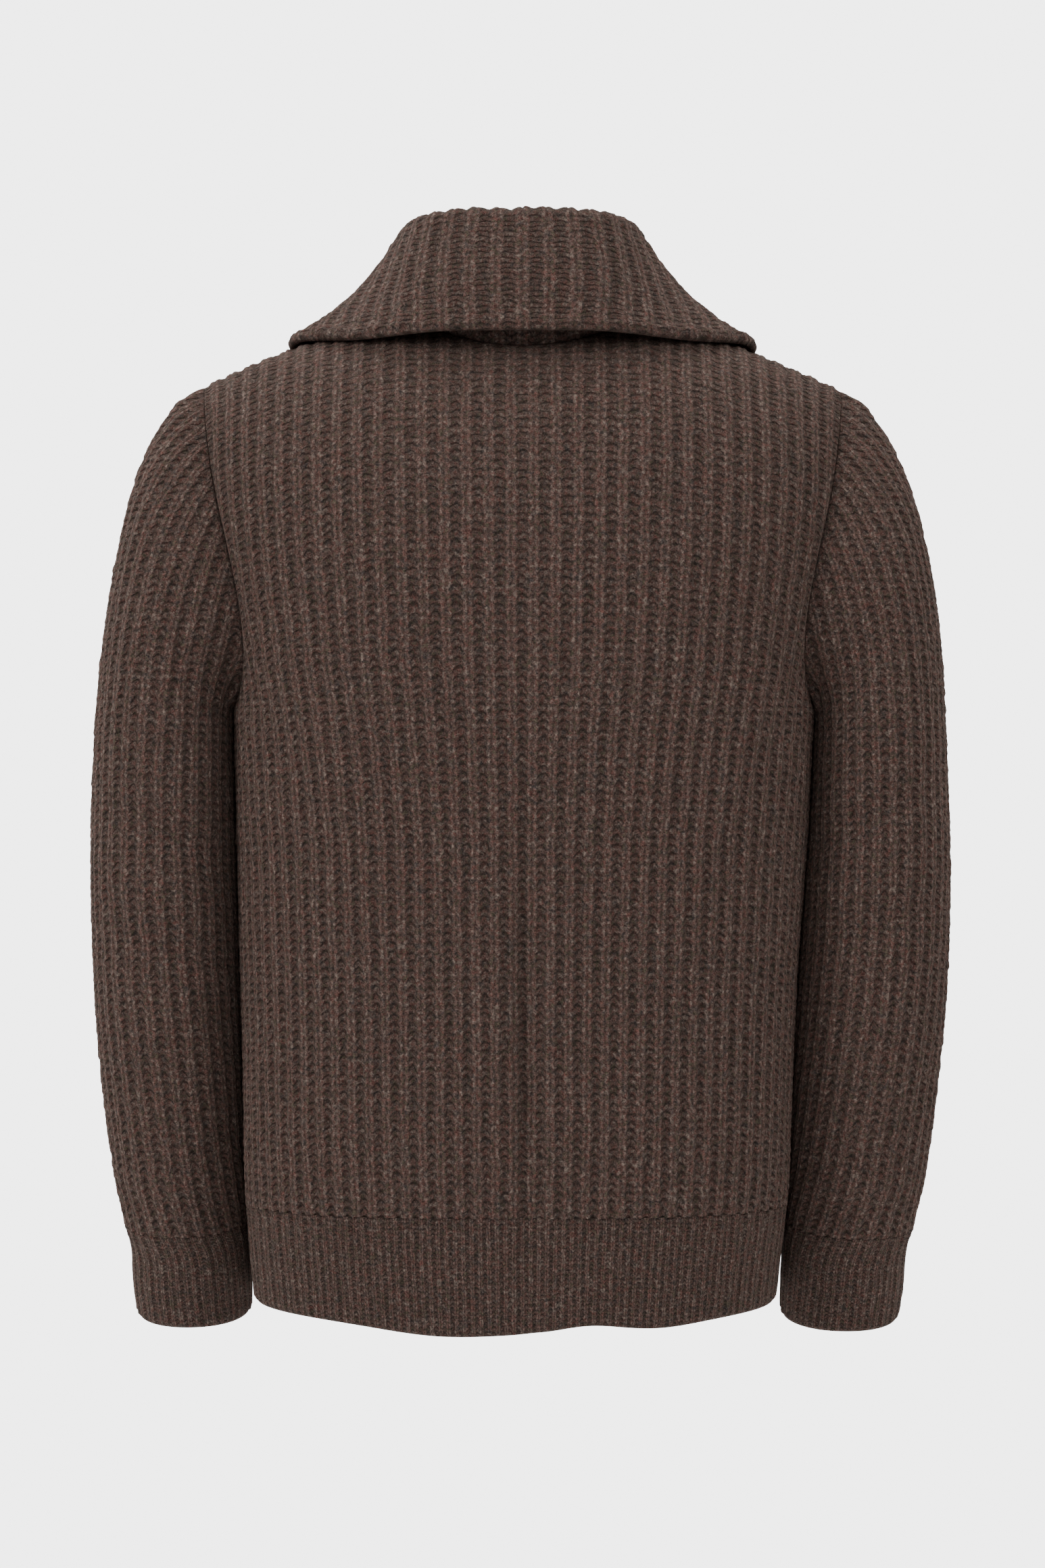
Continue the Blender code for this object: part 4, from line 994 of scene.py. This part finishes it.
def makeWool(name, fine, strandHeight, paintedGapShade, paintedValleyShade):
    # Woollen-spun lambswool in a thick melange: matt, with a soft halo of loose hair, flecks of other
    # colours in the yarn, and painted shade darkening the gaps between the strands of each stitch and the
    # valleys.
    material, add = newMaterial(name)
    counts = add("UVMap", uv_map="stitches")
    stitches = add("VectorMath", {0: counts, 1: (fine, fine, 1), 2: ((fine - 1) / 2, 0, 0)},
                   operation="MULTIPLY_ADD")
    place = add("TexCoord", output="Object")
    wander = add("TexNoise", {"Vector": place, "Scale": 0.5 / wool["wander"], "Detail": 2.0}, "Color")
    middle = add("VectorMath", {0: wander, 1: (0.5, 0.5, 0.5)}, operation="SUBTRACT")
    leaning = add("VectorMath", {0: middle, 1: (*wool["lean"], 0.0), 2: stitches}, operation="MULTIPLY_ADD")
    rib, course = (add("SeparateXYZ", {0: leaning}, axis) for axis in "XY")
    part = add("Math", {0: rib}, operation="FRACT")
    fromWale = add("Math", {0: part, 1: 0.5}, operation="SUBTRACT")
    across = add("Math", {0: fromWale}, operation="ABSOLUTE")
    fromValley = add("Math", {0: 0.5, 1: across}, operation="SUBTRACT")
    square = add("Math", {0: fromValley, 1: 2.0}, operation="POWER")
    # smooth wale: two legs of each stitch slant away from the middle; valley: loops curve over one another
    waves = []
    for bent, by in ((across, wool["slant"]), (square, wool["arc"])):
        count = add("Math", {0: bent, 1: by, 2: course}, operation="MULTIPLY_ADD")
        turn = add("Math", {0: count, 1: 2 * math.pi}, operation="MULTIPLY")
        waves.append(add("Math", {0: turn}, operation="COSINE"))
    legRound = add("MapRange", {0: waves[0], 1: 1.0, 2: -0.6, 3: 0.60})
    legMiddle = add("MapRange", {0: across, 1: 0.02, 2: 0.11, 3: wool["split"]})
    legs = add("Math", {0: legRound, 1: legMiddle}, operation="MULTIPLY")
    loops = add("MapRange", {0: waves[1], 1: 1.0, 2: 0.1, 3: 0.10, 4: 0.80})
    valley = add("MapRange", {0: across, 1: wool["zone"][0], 2: wool["zone"][1]},
                 interpolation_type="SMOOTHSTEP")
    strand = add("Mix", {0: valley, 2: legs, 3: loops})
    hair = add("TexNoise", {"Vector": place, "Scale": 0.5 / wool["hair"], "Detail": 3.0, "Roughness": 0.65})
    strands = add("Math", {0: strand, 1: strandHeight}, operation="MULTIPLY")
    height = add("Math", {0: hair, 1: wool["hairHeight"] * 3, 2: strands}, operation="MULTIPLY_ADD")
    bump = add("Bump", {"Strength": 1.0, "Distance": 1.0, "Height": height})
    # melange: soft flecks a few millimetres long, laid over the brown, and a lighter or darker tone a stitch
    first = add("TexNoise", {"Vector": place, "Scale": 0.5 / wool["fleck"], "Detail": 1.5, "Roughness": 0.6})
    shifted = add("Mapping", {"Vector": place, "Location": (0.37, 0.11, 0.23)})
    second = add("TexNoise", {"Vector": shifted, "Scale": 0.6 / wool["fleck"], "Detail": 1.5,
                              "Roughness": 0.6})
    colour = linear(wool["brown"])
    for source, start, end, fleck in ((first, 0.50, 0.74, "rust"), (first, 0.48, 0.30, "slate"),
                                      (second, 0.52, 0.70, "moss"), (second, 0.48, 0.30, "pale")):
        share = add("MapRange", {0: source, 1: start, 2: end})
        colour = add("Mix", {0: share, 6: colour, 7: linear(wool[fleck])}, 2, data_type="RGBA")
    # darker in the gaps between strands and down in the valleys, as painted shade; lighter and darker again
    # hair by hair
    gap = add("Math", {0: 1.0, 1: strand}, operation="SUBTRACT")
    paintedGapShadeFactor = add("Math", {0: gap, 1: -paintedGapShade, 2: 1.0}, operation="MULTIPLY_ADD")
    paintedValleyShadeFactor = add("Math", {0: valley, 1: -paintedValleyShade, 2: 1.0}, operation="MULTIPLY_ADD")
    fuzzy = add("MapRange", {0: hair, 1: 0.3, 2: 0.7, 3: 1 - wool["hairTone"], 4: 1 + wool["hairTone"]})
    shade = add("Math", {0: paintedGapShadeFactor, 1: paintedValleyShadeFactor}, operation="MULTIPLY")
    shade = add("Math", {0: shade, 1: fuzzy}, operation="MULTIPLY")
    grey = add("CombineColor", {0: shade, 1: shade, 2: shade})
    colour = add("Mix", {0: 1.0, 6: colour, 7: grey}, 2, data_type="RGBA", blend_type="MULTIPLY")
    shader = add("BsdfPrincipled", {
        "Base Color": colour, "Roughness": 0.95, "Specular IOR Level": 0.15, "Sheen Weight": 0.25,
        "Sheen Roughness": 0.5, "Sheen Tint": linear(wool["fuzz"]), "Normal": bump})
    add("OutputMaterial", {"Surface": shader})
    return material


# Zip: two tapes, two rows of teeth that lock at the centre line, and the metal parts of the frame

zipParts = {
    "tape": "#3d3029",
    # painted shade in the grooves of the weave
    "tapeGroovePaintedShade": "#2b211d",
    "herringbone": 1.3,       # width of one stripe of the weave, in mm
    "thread": 0.55,
    "threadHeight": 0.00006,
    "brass": "#9a8358",
    "tarnish": "#4f4334",
    "worn": {"teeth": 0.3, "parts": 0.5},
    "cloud": 420.0,           # tarnish comes in patches about 1 mm across
    "streaks": 3500.0,        # and polishing marks about 0.15 mm apart
    "streakHeight": 0.00002,
    "rounded": 0.00025,       # edges of the metal parts
    "sharpFrom": 35,          # where they turn by more degrees than this
    "inside": 0.0045,         # the tape lies behind the knitting
    "tapeGap": 0.0006,
    "tapeThick": 0.0010,
    "tapeX": 0.0033,
    "tapeWide": 0.0130,
    "tapeRows": 144,
    "tapeColumns": 8,
    "lowZ": -0.6510,
    "topZ": -0.2156,
    "chainTopZ": -0.2222,
    "chainEnd": 0.0009,       # the first and last teeth stay this far inside the chain's ends
    "toothPitch": 0.0025,
    "toothThick": 0.0024,
    # half a tooth from its head past the centre line to its foot on the tape: x and half-height
    "tooth": ((-0.0008, 0.00030), (-0.0005, 0.00052), (0.0003, 0.00055), (0.0008, 0.00036),
              (0.0013, 0.00036), (0.0017, 0.00085), (0.0029, 0.00085)),
    "toothEdge": 0.00012,
}


def makeTapeCloth():
    # Woven polyester zip tape: flat herringbone with a faint sheen, so it reads as cloth beside the wool.
    material, add = newMaterial("polyester zip tape")
    threads = add("UVMap", uv_map="stitches")
    across, along = (add("SeparateXYZ", {0: threads}, axis) for axis in "XY")
    fold = add("Math", {0: across, 1: zipParts["herringbone"]}, operation="PINGPONG")
    both = add("Math", {0: fold, 1: along}, operation="ADD")
    turn = add("Math", {0: both, 1: 2 * math.pi / zipParts["thread"]}, operation="MULTIPLY")
    wave = add("Math", {0: turn}, operation="SINE")
    height = add("Math", {0: wave, 1: zipParts["threadHeight"]}, operation="MULTIPLY")
    bump = add("Bump", {"Strength": 1.0, "Distance": 1.0, "Height": height})
    # painted shade: the threads are darker down in the grooves of the weave, where its bump is lowest
    share = add("MapRange", {0: wave, 1: -1.0, 2: 1.0})
    colour = add("Mix", {0: share, 6: linear(zipParts["tapeGroovePaintedShade"]), 7: linear(zipParts["tape"])}, 2,
                 data_type="RGBA")
    shader = add("BsdfPrincipled", {
        "Base Color": colour, "Roughness": 0.75, "Specular IOR Level": 0.3, "Sheen Weight": 0.15,
        "Normal": bump})
    add("OutputMaterial", {"Surface": shader})
    return material


def makeBrass(name, wear):
    # Antique brass: browned metal, brighter where fingers and cloth have rubbed its edges, faintly streaked.
    material, add = newMaterial(name)
    place = add("TexCoord", output="Object")
    cloud = add("TexNoise", {"Vector": place, "Scale": zipParts["cloud"], "Detail": 5.0, "Roughness": 0.6})
    fine = add("Mapping", {"Vector": place, "Scale": (1.0, 1.0, 0.15)})
    streak = add("TexNoise", {"Vector": fine, "Scale": zipParts["streaks"], "Detail": 2.0})
    edge = add("NewGeometry", output="Pointiness")
    rubbed = add("MapRange", {0: edge, 1: 0.50, 2: 0.58})
    patch = add("MapRange", {0: cloud, 1: 0.45, 2: 0.70})
    worn = add("Math", {0: patch, 1: wear, 2: rubbed}, operation="MULTIPLY_ADD", use_clamp=True)
    colour = add("Mix", {0: worn, 6: linear(zipParts["tarnish"]), 7: linear(zipParts["brass"])}, 2,
                 data_type="RGBA")
    rough = add("MapRange", {0: worn, 3: 0.48, 4: 0.30})
    height = add("Math", {0: streak, 1: zipParts["streakHeight"]}, operation="MULTIPLY")
    bump = add("Bump", {"Strength": 1.0, "Distance": 1.0, "Height": height})
    shader = add("BsdfPrincipled", {
        "Base Color": colour, "Metallic": 1.0, "Roughness": rough, "Normal": bump})
    add("OutputMaterial", {"Surface": shader})
    return material


def tapeDepth(z):
    # depth of the tape's face behind the knitting at the centre front
    grid = halfTorso(1, -1)[0]
    front = np.interp(z, grid[:, 0, 2], grid[:, 0, 1]) + torso["sideLift"]
    return front + zipParts["inside"] + zipParts["tapeGap"]


def makeTape(side, word, material):
    z = np.linspace(zipParts["lowZ"], zipParts["topZ"], zipParts["tapeRows"] + 1)
    x = side * (zipParts["tapeX"] + np.linspace(0, zipParts["tapeWide"], zipParts["tapeColumns"] + 1))
    points = np.stack(np.broadcast_arrays(x[None], tapeDepth(z)[:, None], z[:, None]), axis=-1)
    walls = np.zeros_like(points) + (0, zipParts["tapeThick"], 0)
    piece = wearCloth("zip_tape_" + word + "_woven", "zip_tape_" + word, points, walls, 1000 * points[..., 0],
                      1000 * points[..., 2], {}, material)


def makeTeeth(side, word, material):
    # one tooth is bevelled and copied down the edge of the tape; the two rows are half a pitch apart
    pitch, half = zipParts["toothPitch"], zipParts["toothThick"] / 2
    first = zipParts["chainTopZ"] - zipParts["chainEnd"] - (0.0 if side > 0 else pitch / 2)
    heights = np.arange(first, zipParts["lowZ"] + zipParts["chainEnd"], -pitch)
    depths = tapeDepth(heights) + zipParts["tapeThick"] / 2
    outline = [*zipParts["tooth"], *((x, -z) for x, z in reversed(zipParts["tooth"]))]
    mesh = bmesh.new()
    face = mesh.faces.new([mesh.verts.new((side * x, -half, z)) for x, z in outline])
    moved = bmesh.ops.extrude_face_region(mesh, geom=[face])["geom"]
    bmesh.ops.translate(mesh, verts=pointsOf(moved), vec=(0, 2 * half, 0))
    ends = [e for e in mesh.edges if abs(e.verts[0].co.y - e.verts[1].co.y) < half]
    bmesh.ops.bevel(mesh, geom=ends, offset=zipParts["toothEdge"], segments=1, profile=0.5,
                    affect="EDGES", material=-1)
    bmesh.ops.recalc_face_normals(mesh, faces=mesh.faces)
    tooth = mesh.verts[:] + mesh.edges[:] + mesh.faces[:]
    for z, y in zip(heights[1:], depths[1:]):
        made = bmesh.ops.duplicate(mesh, geom=tooth)["geom"]
        bmesh.ops.translate(mesh, verts=pointsOf(made), vec=(0, y, z))
    bmesh.ops.translate(mesh, verts=pointsOf(tooth), vec=(0, depths[0], heights[0]))
    name = "zip_teeth_" + word
    newPiece(name, "zip_chain_" + word, meshData(name, mesh), material)


def makeZip():
    cloth = makeTapeCloth()
    teethBrass = makeBrass("antique brass teeth", zipParts["worn"]["teeth"])
    partBrass = makeBrass("antique brass", zipParts["worn"]["parts"])
    for side, word in ((1, "left"), (-1, "right")):
        makeTape(side, word, cloth)
        makeTeeth(side, word, teethBrass)
    for node in ("zip_stop_left", "zip_stop_right", "zip_box", "zip_slider", "zip_pull"):
        part = bpy.data.objects[node]
        part.data.materials.clear()
        part.data.materials.append(partBrass)
        bevel = part.modifiers.new("rounded edges", "BEVEL")
        bevel.width = zipParts["rounded"]
        bevel.segments = 2
        bevel.limit_method = "ANGLE"
        bevel.angle_limit = math.radians(zipParts["sharpFrom"])
    print("zip made")


# each wool's name, ribs of stitches to one rib, strand height, and how much painted shade darkens gaps and
# valleys
bodyWool = makeWool("half cardigan rib lambswool", 1, 0.0012, 0.64, 0.25)
bandWool = makeWool("close rib lambswool", 2, 0.0007, 0.67, 0.34)
collarWool = makeWool("collar rib lambswool", 1, 0.0011, 0.64, 0.26)

makeTorso(bodyWool, bandWool)
makeSleeves(bodyWool, bandWool)
makeCollar(collarWool)
makeZip()
